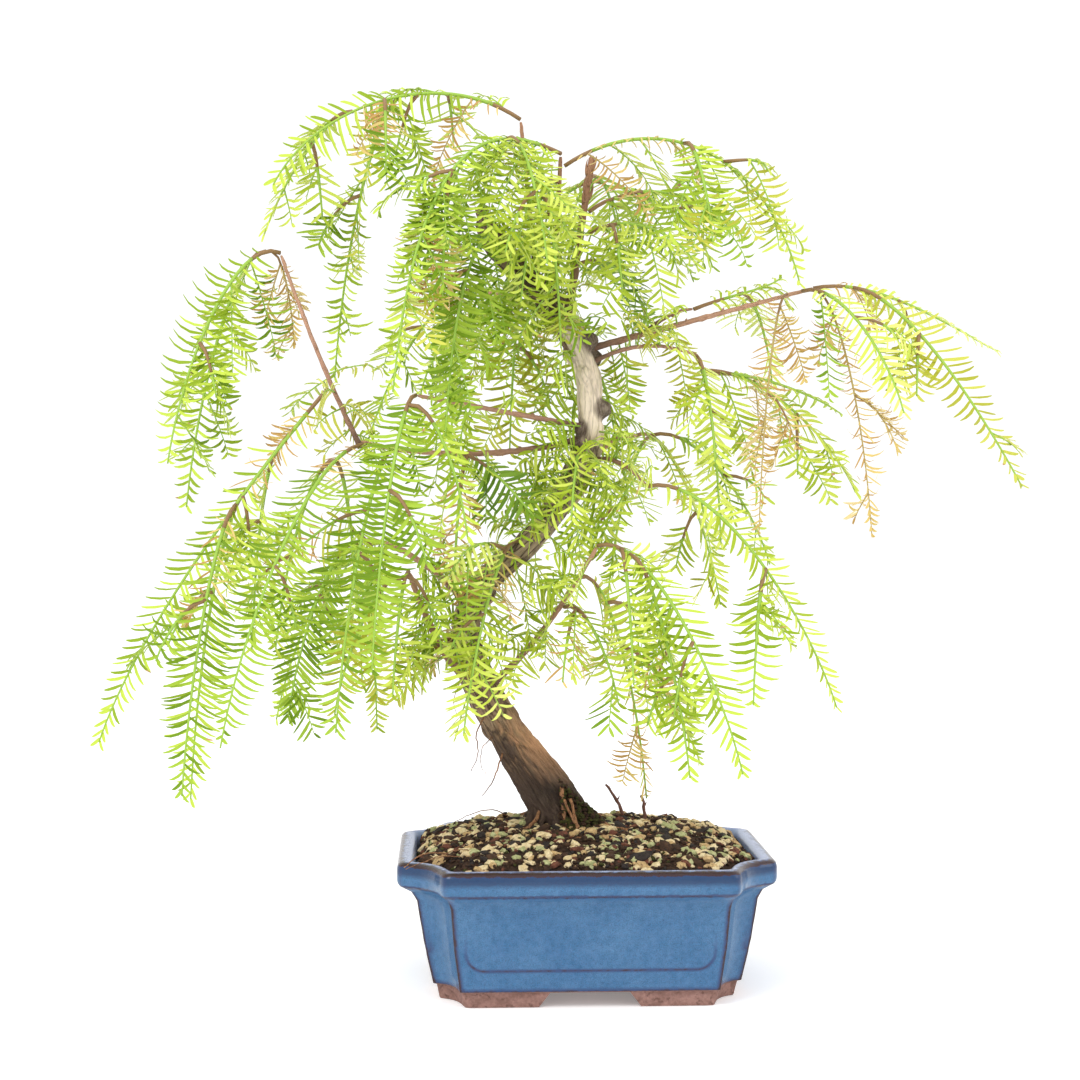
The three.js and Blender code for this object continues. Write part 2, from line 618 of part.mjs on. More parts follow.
/** Adds a bough clear of what it grows on, and notes its curve and space. */
function boughSolid(name, { on, at, tip, arch, radii }) {
  const reach = vector(tip);
  const lead = new THREE.Vector3(reach.x, reach.y, reach.z + 3.9 * arch);
  const foot = seatOn(on, at, lead, radii[0]);
  const curve = boughCurve(foot, foot.clone().add(reach), arch);
  const radiusAt = (share) => THREE.MathUtils.lerp(radii[0], radii[1], share);
  limbs.set(name, { curve, radiusAt });
  const steps = Math.max(3, Math.round(curve.getLength() / BOUGH_STEP));
  takeSpace({ node: name }, curve.getSpacedPoints(steps), radiusAt);
  return limbSolid(curve, radiusAt, BOUGH_SIDES, steps);
}

// ---- Foliage ----

/** The across and flat directions of a spray at a point of its shoot. */
function sprayFrame(curve, fraction, facing) {
  const along = curve.getTangentAt(fraction);
  const across = new THREE.Vector3().crossVectors(facing, along).normalize();
  const flat = new THREE.Vector3().crossVectors(along, across);
  return { along, across, flat };
}

/** How far the needles reach at a share of the spray's length: short at its foot and tip. */
function needleReach(share) {
  const opening = Math.min(1, 0.6 + 2 * share);
  const closing = 1 - 0.6 * Math.max(0, (share - 0.55) / 0.45) ** 1.5;
  return NEEDLE * opening * closing;
}

/** The tips of the teeth that have room along a shoot, each under its column times its side. */
function toothTips(owner, curve, columns, fractionAt, facing) {
  const teeth = new Map();
  for (let column = 2; column < columns; column += 2) {
    const frame = sprayFrame(curve, fractionAt(column), facing);
    const base = curve.getPointAt(fractionAt(column));
    for (const side of [-1, 1]) {
      const tip = base.clone()
        .addScaledVector(frame.across, side * needleReach(column / columns))
        .addScaledVector(frame.along, SWEEP * TOOTH_PITCH);
      if (tip.z >= CROWN_FLOOR && !isTaken(owner, base, tip, TOOTH_FOOT, TOOTH_END)) {
        const middle = base.clone().lerp(tip, 0.5);
        const widthAt = (share) => THREE.MathUtils.lerp(TOOTH_FOOT, TOOTH_END, share);
        takeSpace(owner, [base, middle, tip], widthAt);
        teeth.set(column * side, tip);
      }
    }
  }
  return teeth;
}

/** One shoot: a bare twig that runs on as the rib of a toothed blade, in one solid. */
function shootSolid(owner, curve, facing) {
  const length = curve.getLength();
  const bare = BARE_TWIG / length;
  const pairs = Math.max(2, Math.round((length - BARE_TWIG) / TOOTH_PITCH));
  const columns = 2 * pairs + 1;
  const fractionAt = (column) => {
    const share = (column - 1) / (columns - 1);
    return column === 0 ? 0 : Math.min(1, bare + (1 - bare) * share);
  };
  takeSpace(owner, curve.getSpacedPoints(Math.ceil(length / 10)), () => TWIG.halfWidth);
  const teeth = toothTips(owner, curve, columns, fractionAt, facing);
  const geometry = new THREE.BoxGeometry(columns, 2, 2, columns, 1, 1);
  const position = geometry.attributes.position;
  for (let i = 0; i < position.count; i += 1) {
    const column = Math.round(position.getX(i) + columns / 2);
    const side = Math.sign(position.getY(i));
    const fraction = fractionAt(column);
    const frame = sprayFrame(curve, fraction, facing);
    const taper = 1 - 0.6 * fraction;
    const point = teeth.get(column * side)?.clone()
      ?? curve.getPointAt(fraction).addScaledVector(frame.across, side * TWIG.halfWidth * taper);
    point.addScaledVector(frame.flat, Math.sign(position.getZ(i)) * TWIG.halfThickness * taper);
    position.setXYZ(i, point.x, point.y, point.z);
  }
  return solidOf(geometry);
}

/** The curve of a small side shoot of a long one, from where it springs to its end. */
function branchlet(curve, side, random) {
  const { reach, earliest, latest } = BRANCHLET;
  const fraction = THREE.MathUtils.lerp(earliest, latest, random());
  const start = curve.getPointAt(fraction);
  const along = curve.getTangentAt(fraction);
  const across = new THREE.Vector3().crossVectors(along, new THREE.Vector3(0, 1, 0)).normalize();
  const length = reach * (0.8 + 0.4 * random());
  const end = start.clone()
    .addScaledVector(across, side * length * 0.5)
    .addScaledVector(along, length * 0.45)
    .add(new THREE.Vector3(0, (random() - 0.5) * length * 0.8, -length * 0.35));
  return shootCurve(start, end, 0, length * 0.3);
}

/** Says whether a side shoot's way is clear, from where it springs to its end. */
function hasRoom(node, curve) {
  const [start, end] = [curve.getPointAt(0), curve.getPointAt(1)];
  return end.z >= CROWN_FLOOR && !isTaken({ node }, start, end, TOOTH_FOOT, TOOTH_FOOT);
}

/** A direction that a spray faces: towards the front, turned and tilted up a little. */
function facingOf(random) {
  const turn = (random() - 0.5) * 1.1;
  return new THREE.Vector3(Math.sin(turn), -Math.cos(turn), 1.7).normalize();
}

/** A mass of foliage: its stem, the shoots that spring from it and their branchlets, as one solid. */
function massSolid(name, { on, at, shoots }, random) {
  const [stem, ...others] = shoots;
  const reach = vector(stem.tip);
  const lead = new THREE.Vector3(reach.x * 0.35, reach.y * 0.35, stem.rise);
  const root = seatOn(on, at, lead, Math.hypot(TWIG.halfWidth, TWIG.halfThickness));
  const stemCurve = shootCurve(root, root.clone().add(reach), stem.rise, stem.hang);
  const curves = [stemCurve];
  for (const { from, tip, rise, hang } of others) {
    curves.push(shootCurve(stemCurve.getPointAt(from), root.clone().add(vector(tip)), rise, hang));
  }
  const sprays = curves.map((curve) => ({ curve, facing: facingOf(random) }));
  for (const stemOrShoot of curves.filter((curve) => curve.getLength() > BRANCHLET.stemLength)) {
    const side = random() < 0.5 ? -1 : 1;
    const small = { curve: branchlet(stemOrShoot, side, random), facing: facingOf(random) };
    if (hasRoom(name, small.curve)) {
      sprays.push(small);
    }
  }
  const solids = sprays.map(({ curve, facing }, shoot) => shootSolid({ node: name, shoot }, curve, facing));
  return solids.reduce((whole, solid) => whole.add(solid));
}

// ---- Assembly ----

const plant = new THREE.Group();
plant.add(meshOf('pot', potSolid(), GLAZE));
plant.add(meshOf('soil', soilSolid(), EARTH));

// The flats between the trunk's facets lie a little inside its radius, and limbs are seated on them.
const flatShare = (1 + Math.cos(Math.PI / TRUNK_SIDES)) / 2;
limbs.set('trunk', { curve: trunkCurve, radiusAt: (fraction) => trunkRadiusAt(fraction) * flatShare });
takeSpace({ node: 'trunk' }, trunkCurve.getSpacedPoints(TRUNK_STEPS), trunkRadiusAt);
plant.add(meshOf('trunk', trunkSolid(), BARK));

for (const [name, { foot, tip, radii }] of Object.entries(SPROUTS)) {
  const lean = Math.hypot(tip[0], tip[1]) / Math.hypot(...tip);
  const start = new THREE.Vector3(foot[0], foot[1], GROUND + GAP + radii[0] * lean);
  const sprout = boughCurve(start, start.clone().add(vector(tip)), 1);
  const radiusAt = (share) => THREE.MathUtils.lerp(radii[0], radii[1], share);
  plant.add(meshOf(name, limbSolid(sprout, radiusAt, 5, 2), YOUNG_BARK));
}

for (const [name, bough] of Object.entries(BOUGHS)) {
  plant.add(meshOf(name, boughSolid(name, bough), YOUNG_BARK));
}

const random = seededNumbers(SEED);
for (const [name, mass] of Object.entries(FOLIAGE)) {
  plant.add(meshOf(name, massSolid(name, mass, random), LEAF));
}

// The origin is under the middle of the whole plant, on the surface it stands on.
const bounds = new THREE.Box3().setFromObject(plant);
const middle = bounds.getCenter(new THREE.Vector3());
plant.position.set(-middle.x, -middle.y, 0);

const bonsai = new THREE.Group();
bonsai.add(plant);

export default bonsai;
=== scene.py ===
"""A bonsai dawn redwood in a glazed rectangular pot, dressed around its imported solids.

Sizes in the tables are millimetres about the middle of the pot's underside: right, back and up.
Every piece is made there and carried to the row's own frame, in metres, by Place.
"""
import sys
import json
import logging
import math
from collections.abc import Callable, Iterator, Sequence
from contextlib import contextmanager
from dataclasses import astuple, dataclass, field
from enum import Enum

import bmesh
import bpy
import numpy as np
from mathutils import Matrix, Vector, kdtree, noise
from mathutils.bvhtree import BVHTree

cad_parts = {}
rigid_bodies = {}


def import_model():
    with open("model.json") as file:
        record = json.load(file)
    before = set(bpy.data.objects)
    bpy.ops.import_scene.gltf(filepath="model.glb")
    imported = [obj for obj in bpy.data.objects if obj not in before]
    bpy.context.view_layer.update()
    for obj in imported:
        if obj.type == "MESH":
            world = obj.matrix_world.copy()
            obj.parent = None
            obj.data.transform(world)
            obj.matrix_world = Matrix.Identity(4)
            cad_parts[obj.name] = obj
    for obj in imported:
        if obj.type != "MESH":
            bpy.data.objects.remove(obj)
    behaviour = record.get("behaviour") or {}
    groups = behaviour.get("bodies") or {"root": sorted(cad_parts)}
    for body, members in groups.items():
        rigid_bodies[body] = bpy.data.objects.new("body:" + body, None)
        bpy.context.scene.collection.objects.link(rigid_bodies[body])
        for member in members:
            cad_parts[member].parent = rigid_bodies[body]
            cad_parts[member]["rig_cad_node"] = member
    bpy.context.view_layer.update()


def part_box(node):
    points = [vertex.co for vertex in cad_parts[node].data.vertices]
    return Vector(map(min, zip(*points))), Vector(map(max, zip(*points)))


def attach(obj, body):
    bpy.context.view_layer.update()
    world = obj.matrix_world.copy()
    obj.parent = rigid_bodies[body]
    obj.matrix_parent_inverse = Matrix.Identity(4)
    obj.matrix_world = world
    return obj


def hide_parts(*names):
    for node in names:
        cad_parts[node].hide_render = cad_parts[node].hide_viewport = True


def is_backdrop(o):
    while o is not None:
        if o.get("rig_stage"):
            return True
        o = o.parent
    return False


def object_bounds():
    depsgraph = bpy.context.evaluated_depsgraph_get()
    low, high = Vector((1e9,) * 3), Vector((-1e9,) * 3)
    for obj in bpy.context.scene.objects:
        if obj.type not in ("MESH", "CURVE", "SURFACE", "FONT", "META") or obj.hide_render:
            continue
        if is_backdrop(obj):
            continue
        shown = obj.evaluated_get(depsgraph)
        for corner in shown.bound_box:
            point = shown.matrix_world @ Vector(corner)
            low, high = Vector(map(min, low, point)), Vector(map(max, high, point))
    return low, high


log = logging.getLogger("bonsai")

MM = 0.001
UP = np.array([0.0, 0.0, 1.0])
Triple = tuple[float, float, float]


class Tint(Enum):
    """The plain foliage colours, each dealt out to whole sprays."""

    LIME = "lime"
    LEAF = "leaf"
    DEEP = "deep"
    TEAL = "teal"
    PALE = "pale"
    OLIVE = "olive"
    STRAW = "straw"
    RUST = "rust"


LIME, LEAF, DEEP, TEAL, PALE, OLIVE, STRAW, RUST = Tint


# ---- What grows where ----


@dataclass(frozen=True)
class Bough:
    """One tapering limb: what it grows on, where, its tip from its start, its arch and its radii."""

    on: str
    at: float
    tip: Triple
    arch: float
    radii: tuple[float, float]


@dataclass(frozen=True)
class Shoot:
    """One shoot of a mass.

    It has the share of the stem at which it springs, its tip from the mass's root, its rise and hang,
    its tint, and the stretch of its length whose needles have withered to straw.
    """

    start: float
    tip: Triple
    rise: float
    hang: float
    tint: Tint
    withered: tuple[float, float] = (1.0, 1.0)


@dataclass(frozen=True)
class Tuft:
    """Leafy tufts straight on a limb: the limb, the shares of its length, how many, and their tint."""

    on: str
    first: float
    last: float
    count: int
    tint: Tint


@dataclass(frozen=True)
class Mass:
    """One mass of foliage.

    It has the limb it grows on, how far along, its shoots with the stem first, how far apart its finer
    twigs stand, its tufts, and whether its long thin needles stand apart like the teeth of a comb.
    """

    on: str
    at: float
    shoots: tuple[Shoot, ...]
    apart: float = 34.0
    tufts: tuple[Tuft, ...] = ()
    combed: bool = False


@dataclass(frozen=True)
class Sprout:
    """One dead sprout: where it stands on the plan, its tip from its foot, and its radii."""

    foot: tuple[float, float]
    tip: Triple
    radii: tuple[float, float]


# Stations up the trunk: right, back, height, radius.
TRUNK = np.array([
    (-6, 12.5, 70, 14.5), (-13, 11.5, 84, 13.2), (-34, 9, 114, 10.4), (-46, 7, 135, 9),
    (-56, 4, 159, 8.1), (-57, 2, 176, 7), (-49, 0, 192, 6.9), (-24, -4, 217, 6.6),
    (-4, -6, 245, 7.6), (4, -5, 268, 6.6), (3, -3, 293, 6.6), (-3, 0, 314, 7.9),
    (-15, 2, 332, 7), (-33, 4, 350, 6.2), (-44, 5, 364, 7), (-48, 6, 374, 4.5),
])

BOUGHS: dict[str, Bough] = {
    "bough_low_left": Bough("trunk", 0.27, (-25, -24, 50), -6, (2.1, 1.2)),
    "bough_low_right": Bough("trunk", 0.24, (47, -33, 66), -6, (1.7, 1.0)),
    "bough_mid_right": Bough("trunk", 0.62, (22, -14, -12), 4, (1.2, 0.8)),
    "bough_high_right": Bough("trunk", 0.767, (107, -2, 29), 0, (1.7, 0.9)),
    "bough_fork_right": Bough("bough_high_right", 0.27, (20, 5, 9), 2, (1.1, 0.8)),
    "bough_side_right": Bough("trunk", 0.75, (44, -14, 2), 5, (1.1, 0.8)),
    "bough_mid_left": Bough("trunk", 0.66, (-78, -36, 13), 0, (1.4, 0.9)),
    "bough_long_left": Bough("trunk", 0.635, (-103, -14, -1), -6, (1.6, 1.2)),
    "bough_left_rise": Bough("bough_long_left", 1, (-38, 16, 91), -4, (1.3, 0.8)),
    "leader_left": Bough("trunk", 0.9, (-7, 3, 71), 0, (1.3, 0.9)),
    "leader_centre": Bough("trunk", 0.865, (3, -4, 61), 0, (1.5, 1.0)),
    "leader_right": Bough("trunk", 0.835, (11, 8, 72), 0, (2.0, 1.5)),
    "bough_back_low": Bough("trunk", 0.36, (-42, 52, 26), 4, (2.2, 1.2)),
    "bough_back_mid": Bough("trunk", 0.61, (30, 56, 16), 4, (2.0, 1.1)),
    "bough_back_high": Bough("trunk", 0.8, (-38, 54, 26), 5, (1.8, 1.1)),
}

FOLIAGE: dict[str, Mass] = {
    "mass_top_left": Mass("leader_left", 1, (
        Shoot(0, (-119, -34, -38), 26, 38, LEAF, withered=(0.0, 0.2)),
        Shoot(0.5, (-65, -48, -34), 2, 22, DEEP, withered=(0.0, 0.6)),
        Shoot(0.28, (-33, 18, -12), 4, 14, LEAF),
        Shoot(0.62, (-128, 20, -55), 4, 18, LIME),
        Shoot(0.42, (-94, 42, -126), 8, 74, LEAF),
    ), apart=24),
    "mass_centre_cascade": Mass("leader_centre", 1, (
        Shoot(0, (-80, -82, -121), 8, 132, LEAF),
        Shoot(0.42, (-58, -60, -80), 4, 40, DEEP, withered=(0.5, 1.0)),
        Shoot(0.2, (-10, -72, -62), 4, 32, LIME),
    ), apart=6),
    "mass_top_right": Mass("leader_centre", 0.93, (
        Shoot(0, (111, -32, -61), 26, 72, LIME, withered=(0.0, 0.36)),
        Shoot(0.4, (66, -56, -44), 2, 26, LEAF),
    ), apart=12),
    "mass_right_high": Mass("leader_right", 0.62, (
        Shoot(0, (66, 34, -24), 20, 30, LEAF),
        Shoot(0.2, (84, 52, -6), 12, 16, DEEP),
    ), apart=19),
    "mass_right_front": Mass("leader_right", 0.45, (
        Shoot(0, (54, -20, -20), 12, 20, LIME),
        Shoot(0.2, (16, -27, -34), 2, 18, LIME),
    ), apart=13),
    "mass_right_back": Mass("leader_right", 0.26, (
        Shoot(0, (40, 44, -36), 8, 34, TEAL),
    ), apart=18),
    "mass_back_top": Mass("leader_right", 0.85, (
        Shoot(0, (24, 84, -42), 12, 36, LEAF),
        Shoot(0.3, (-36, 70, -46), 6, 30, LIME),
    ), apart=18),
    "mass_crown_left": Mass("trunk", 0.94, (
        Shoot(0, (-30, -56, -92), 18, 84, DEEP),
    ), apart=9, tufts=(Tuft("trunk", 0.85, 0.98, 16, LEAF),)),
    "mass_trunk_back": Mass("trunk", 0.9, (
        Shoot(0, (-8, 44, -88), 10, 56, OLIVE),
        Shoot(0.3, (-54, 40, -58), 6, 34, LEAF),
    ), apart=14, tufts=(Tuft("trunk", 0.66, 0.95, 22, LEAF),)),
    "mass_front_top": Mass("leader_centre", 0.8, (
        Shoot(0, (-19, -32, -62), 6, 30, LIME),
        Shoot(0.25, (0, -34, -84), 2, 40, LIME),
    ), apart=9, tufts=(Tuft("leader_centre", 0.15, 0.9, 7, LIME), Tuft("trunk", 0.8, 0.86, 6, OLIVE))),
    "mass_front_mid": Mass("trunk", 0.625, (
        Shoot(0, (-7, -28, -34), 4, 18, LIME),
    ), apart=7, tufts=(Tuft("trunk", 0.54, 0.66, 26, LIME),)),
    # Its paler lime and pale tints are partly painted light against the shade that the crown casts in front
    # of the trunk.
    "mass_front_low": Mass("trunk", 0.47, (
        Shoot(0, (-27, -42, -90), 6, 36, LIME, withered=(0.1, 0.34)),
        Shoot(0.12, (-30, -36, -10), 6, 10, PALE),
    ), apart=11, tufts=(Tuft("trunk", 0.31, 0.4, 8, LEAF), Tuft("trunk", 0.42, 0.52, 6, LIME))),
    "mass_centre_left": Mass("bough_mid_left", 1, (
        Shoot(0, (-19, -46, -126), 2, 60, DEEP),
        Shoot(0.08, (24, -22, -66), 4, 34, LEAF),
    ), apart=64, tufts=(Tuft("bough_mid_left", 0.5, 0.95, 7, LEAF),)),
    "mass_inner_left": Mass("bough_long_left", 0.55, (
        Shoot(0, (36, -16, -30), 0, 6, TEAL),
        Shoot(0.1, (-2, -8, -66), 0, 34, DEEP, withered=(0.1, 1.0)),
    ), apart=22),
    "mass_left_front": Mass("bough_long_left", 0.84, (
        Shoot(0, (-26, -48, -131), 2, 60, DEEP),
        Shoot(0.28, (-50, -10, -52), 0, 6, OLIVE, withered=(0.1, 0.8)),
    ), apart=110, combed=True, tufts=(Tuft("bough_long_left", 0.42, 0.96, 12, LEAF),)),
    "mass_left_low": Mass("bough_long_left", 0.97, (
        Shoot(0, (-62, -74, -136), 2, 60, DEEP, withered=(0.0, 0.2)),
        Shoot(0.14, (-4, 34, -118), 0, 60, LEAF),
        Shoot(0.14, (-46, 26, -100), 4, 44, LIME),
    ), apart=230, combed=True),
    "mass_left_sweep": Mass("bough_left_rise", 0.3, (
        Shoot(0, (-104, -34, -166), -44, 50, LEAF, withered=(0.0, 0.3)),
        Shoot(0.36, (-63, -56, -188), -6, 60, DEEP, withered=(0.0, 0.34)),
        Shoot(0.32, (-67, 8, -199), -6, 80, LEAF),
        Shoot(0.2, (-40, 34, -130), -4, 60, LIME),
    ), apart=230, combed=True, tufts=(Tuft("bough_left_rise", 0.0, 0.4, 8, OLIVE),)),
    "mass_left_outer": Mass("bough_left_rise", 1, (
        Shoot(0, (-51, -26, -103), 8, 56, LEAF),
        Shoot(0.06, (-48, 20, -124), 4, 60, LEAF),
        Shoot(0.04, (6, 10, -44), 2, 28, STRAW, withered=(0.0, 0.7)),
    ), apart=18),
    "mass_right_tip": Mass("bough_high_right", 1, (
        Shoot(0, (95, 12, -30), 8, 6, PALE, withered=(0.0, 0.2)),
        Shoot(0.2, (94, -36, -98), -4, 24, OLIVE),
    ), apart=60),
    "mass_right_spray": Mass("bough_high_right", 0.95, (
        Shoot(0, (38, -56, -62), 4, 30, PALE),
        Shoot(0.1, (30, -22, -120), -2, 64, STRAW, withered=(0.0, 0.86)),
    ), apart=44),
    "mass_right_straw": Mass("bough_high_right", 0.88, (
        Shoot(0, (-18, -28, -118), 2, 66, STRAW, withered=(0.0, 0.9)),
    ), apart=50),
    "mass_fork_right": Mass("bough_fork_right", 1, (
        Shoot(0, (46, 12, 17), 7, -6, LIME),
        Shoot(0.5, (46, 44, -34), 6, 28, PALE),
    ), apart=60, tufts=(Tuft("bough_high_right", 0.04, 0.4, 9, OLIVE),)),
    "mass_side_right": Mass("bough_side_right", 1, (
        Shoot(0, (19, 37, -94), 2, 64, PALE),
        Shoot(0.18, (81, 42, -28), 4, 8, LEAF, withered=(0.3, 0.6)),
        Shoot(0.16, (90, 50, -68), 4, 28, LIME),
        Shoot(0.06, (9, -18, -53), 0, 26, LIME),
    ), apart=46, tufts=(Tuft("bough_side_right", 0.3, 0.95, 6, LIME),)),
    "mass_trunk_right": Mass("trunk", 0.74, (
        Shoot(0, (16, 42, -42), 4, 26, LIME),
    ), apart=24),
    "mass_low_right_top": Mass("bough_mid_right", 1, (
        Shoot(0, (87, -26, -104), 8, 44, LIME),
        Shoot(0.5, (45, -44, -101), 0, 30, LEAF),
    ), apart=40, tufts=(Tuft("bough_mid_right", 0.2, 0.95, 7, LIME),)),
    "mass_low_right": Mass("bough_low_right", 1, (
        Shoot(0, (63, -48, -103), 8, 44, LEAF),
        Shoot(0.14, (40, -38, -106), 0, 40, LEAF),
        Shoot(0.1, (14, -38, -63), 0, 26, LIME),
    ), apart=44),
    "mass_low_middle": Mass("bough_low_right", 0.62, (
        Shoot(0, (24, -28, -44), 6, 22, LIME),
        Shoot(0.15, (-2, -24, -34), 2, 16, OLIVE, withered=(0.3, 1.0)),
    ), apart=22, tufts=(Tuft("bough_low_right", 0.3, 0.95, 14, LIME),)),
    "mass_low_right_back": Mass("bough_low_right", 0.8, (
        Shoot(0, (36, 43, -113), 6, 60, OLIVE, withered=(0.4, 1.0)),
        Shoot(0.2, (62, 60, -74), 4, 30, PALE),
    )),
    "mass_low_left": Mass("bough_low_left", 1, (
        Shoot(0, (-7, -22, -58), 2, 26, LIME),
        Shoot(0.1, (-36, 14, -70), 4, 32, OLIVE),
        Shoot(0.08, (16, -2, -38), 2, 16, LEAF),
    ), apart=120, tufts=(Tuft("bough_low_left", 0.1, 0.9, 8, OLIVE),)),
    "mass_back_low": Mass("bough_back_low", 1, (
        Shoot(0, (-58, 54, -98), 10, 44, LEAF),
        Shoot(0.12, (-4, 72, -106), 6, 50, LIME),
        Shoot(0.1, (-48, 6, -92), 6, 44, DEEP),
    ), apart=60, tufts=(Tuft("bough_back_low", 0.2, 0.95, 7, LEAF), Tuft("trunk", 0.28, 0.4, 7, LIME))),
    "mass_back_mid": Mass("bough_back_mid", 1, (
        Shoot(0, (52, 60, -92), 10, 44, LIME),
        Shoot(0.12, (-10, 74, -96), 6, 46, LEAF),
        Shoot(0.1, (72, 12, -68), 8, 34, LEAF),
    ), apart=40, tufts=(Tuft("bough_back_mid", 0.2, 0.95, 8, LEAF), Tuft("trunk", 0.42, 0.62, 12, LEAF))),
    "mass_back_high": Mass("bough_back_high", 1, (
        Shoot(0, (-66, 50, -82), 14, 40, LEAF),
        Shoot(0.12, (-20, 76, -98), 8, 50, LIME),
        Shoot(0.1, (34, 52, -74), 8, 40, LEAF),
    ), apart=22, tufts=(Tuft("bough_back_high", 0.2, 0.95, 8, LIME),)),
}

SPROUTS: dict[str, Sprout] = {
    "dead_sprout_left": Sprout((24, 28), (-10, 4, 16), (1.0, 0.7)),
    "dead_sprout_right": Sprout((32, 19), (-1, 2, 12), (1.0, 0.7)),
}

# The source's own sizes, which the limbs and sprays repeat.
GAP = 0.3
GROUND = 73.5
TWIG_HALF_WIDTH, TWIG_HALF_THICKNESS = 1.1, 0.8
TRUNK_SIDES = 10
BRANCHLET_STEM, BRANCHLET_REACH = 85.0, 34.0
BRANCHLET_EARLIEST, BRANCHLET_LATEST = 0.3, 0.6
BRANCHLET_LEAST, BRANCHLET_VARIES = 0.8, 0.4
BOW_OF_ARCH, LEAD_OF_ARCH = 1.3, 3.9
FACING_TURN, FACING_TILT = 1.1, 1.7
CROWN_FLOOR = 84.0
SEED = 1937
STONES_TRIED = 82
STONE_SPREAD = np.array([0.7548776662, 0.5698402909, 0.618034])
STONE_HALF_SIZES = (1.7, 3.1)
STONE_LENGTH, STONE_HEIGHT, STONE_CROWN = 1.3, 0.72, 0.85
STONE_TO_POT, STONE_TO_TRUNK, STONE_TO_SPROUT = 4.0, 31.0, 6.0


# ---- Numbers, places and curves ----


class SeededNumbers:
    """The same run of numbers between 0 and 1 for the same seed, as in the solids' source."""

    def __init__(self, seed: int) -> None:
        """Starts the run.

        Args:
            seed: Any whole number.
        """
        self.state = seed & 0xFFFFFFFF

    def __call__(self) -> float:
        """Returns the next number."""
        self.state = (self.state * 1664525 + 1013904223) & 0xFFFFFFFF
        return self.state / 4294967296

    def between(self, low: float, high: float) -> float:
        """Returns the next number, scaled to lie from low to high."""
        return low + (high - low) * self()


def unit(vector: np.ndarray) -> np.ndarray:
    """Returns a vector, or each row of an array of them, at length one."""
    length = np.linalg.norm(vector, axis=-1, keepdims=True)
    return vector / np.maximum(length, 1e-9)


@dataclass
class Place:
    """Carries points from the pot's frame, in millimetres, to the row frame, in metres."""

    shift: np.ndarray = field(default_factory=lambda: np.zeros(3))

    def read(self) -> None:
        """Finds the pot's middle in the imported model."""
        low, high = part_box("pot")
        middle = (np.array(low) + np.array(high)) / 2
        self.shift = np.array([middle[0], middle[1], 0.0]) / MM

    def out(self, points: np.ndarray) -> np.ndarray:
        """Returns points of the pot's frame in the row frame, in metres."""
        return (np.asarray(points, float) + self.shift) * MM

    def back(self, points: np.ndarray) -> np.ndarray:
        """Returns points of the row frame in the pot's frame, in millimetres."""
        return np.asarray(points, float) / MM - self.shift


PLACE = Place()


class Path:
    """A curve that is read by the share of its length, as the solids' source reads its curves."""

    STEPS = 200

    def __init__(self, at: Callable[[np.ndarray], np.ndarray]) -> None:
        """Measures the curve.

        Args:
            at: Gives the points for an array of curve parameters from 0 to 1.
        """
        self.raw = at
        knots = at(np.linspace(0, 1, self.STEPS + 1))
        lengths = np.linalg.norm(np.diff(knots, axis=0), axis=1)
        self.reached = np.concatenate([[0.0], np.cumsum(lengths)])
        self.length = float(self.reached[-1])

    def parameter(self, share: np.ndarray) -> np.ndarray:
        """Returns the curve parameter at each share of the length."""
        knots = np.linspace(0, 1, self.STEPS + 1)
        return np.interp(np.asarray(share, float) * self.length, self.reached, knots)

    def point(self, share: float | np.ndarray) -> np.ndarray:
        """Returns the point, or points, at a share of the length."""
        found = self.raw(np.atleast_1d(self.parameter(share)))
        return found if np.ndim(share) else found[0]

    def tangent(self, share: float | np.ndarray) -> np.ndarray:
        """Returns the unit direction, or directions, at a share of the length.

        Args:
            share: One share from 0 to 1, or several.

        Returns:
            One direction, or a row of them.
        """
        parameter = np.atleast_1d(self.parameter(share))
        low, high = np.clip(parameter - 1e-4, 0, 1), np.clip(parameter + 1e-4, 0, 1)
        found = unit(self.raw(high) - self.raw(low))
        return found if np.ndim(share) else found[0]


def cubic(start: np.ndarray, first: np.ndarray, second: np.ndarray, end: np.ndarray) -> Path:
    """Returns a cubic curve from start to end, pulled towards its two controls.

    Args:
        start: Where it starts.
        first: The control near the start.
        second: The control near the end.
        end: Where it ends.

    Returns:
        The curve.
    """
    def at(t: np.ndarray) -> np.ndarray:
        """Returns the points for the parameters t.

        Args:
            t: The parameters, from 0 to 1.

        Returns:
            The points, one to a row.
        """
        t = t[:, None]
        back = 1 - t
        return back**3 * start + 3 * back**2 * t * first + 3 * back * t**2 * second + t**3 * end
    return Path(at)


def through(stations: np.ndarray) -> Path:
    """Draws the centripetal curve that the trunk follows.

    Args:
        stations: The places that it passes through, in order.

    Returns:
        The curve.
    """
    last = len(stations) - 1
    ends = (2 * stations[0] - stations[1], 2 * stations[-1] - stations[-2])

    def at(t: np.ndarray) -> np.ndarray:
        """Returns the points for the parameters t.

        Args:
            t: The parameters, from 0 to 1.

        Returns:
            The points, one to a row.
        """
        reached = t * last
        first = np.minimum(reached.astype(int), last - 1)
        share, index = (reached - first)[:, None], first[:, None]
        before = np.where(index > 0, stations[np.maximum(first - 1, 0)], ends[0])
        a, b = stations[first], stations[first + 1]
        after = np.where(index + 1 < last, stations[np.minimum(first + 2, last)], ends[1])
        pairs = ((before, a), (a, b), (b, after))
        gaps = [np.sum((q - p) ** 2, axis=1, keepdims=True) ** 0.25 for p, q in pairs]
        to_a, to_b, on_from_b = gaps
        start = ((a - before) / to_a - (b - before) / (to_a + to_b) + (b - a) / to_b) * to_b
        stop = ((b - a) / to_b - (after - a) / (to_b + on_from_b) + (after - b) / on_from_b) * to_b
        squared = -3 * a + 3 * b - 2 * start - stop
        cubed = 2 * a - 2 * b + start + stop
        return a + start * share + squared * share**2 + cubed * share**3
    return Path(at)


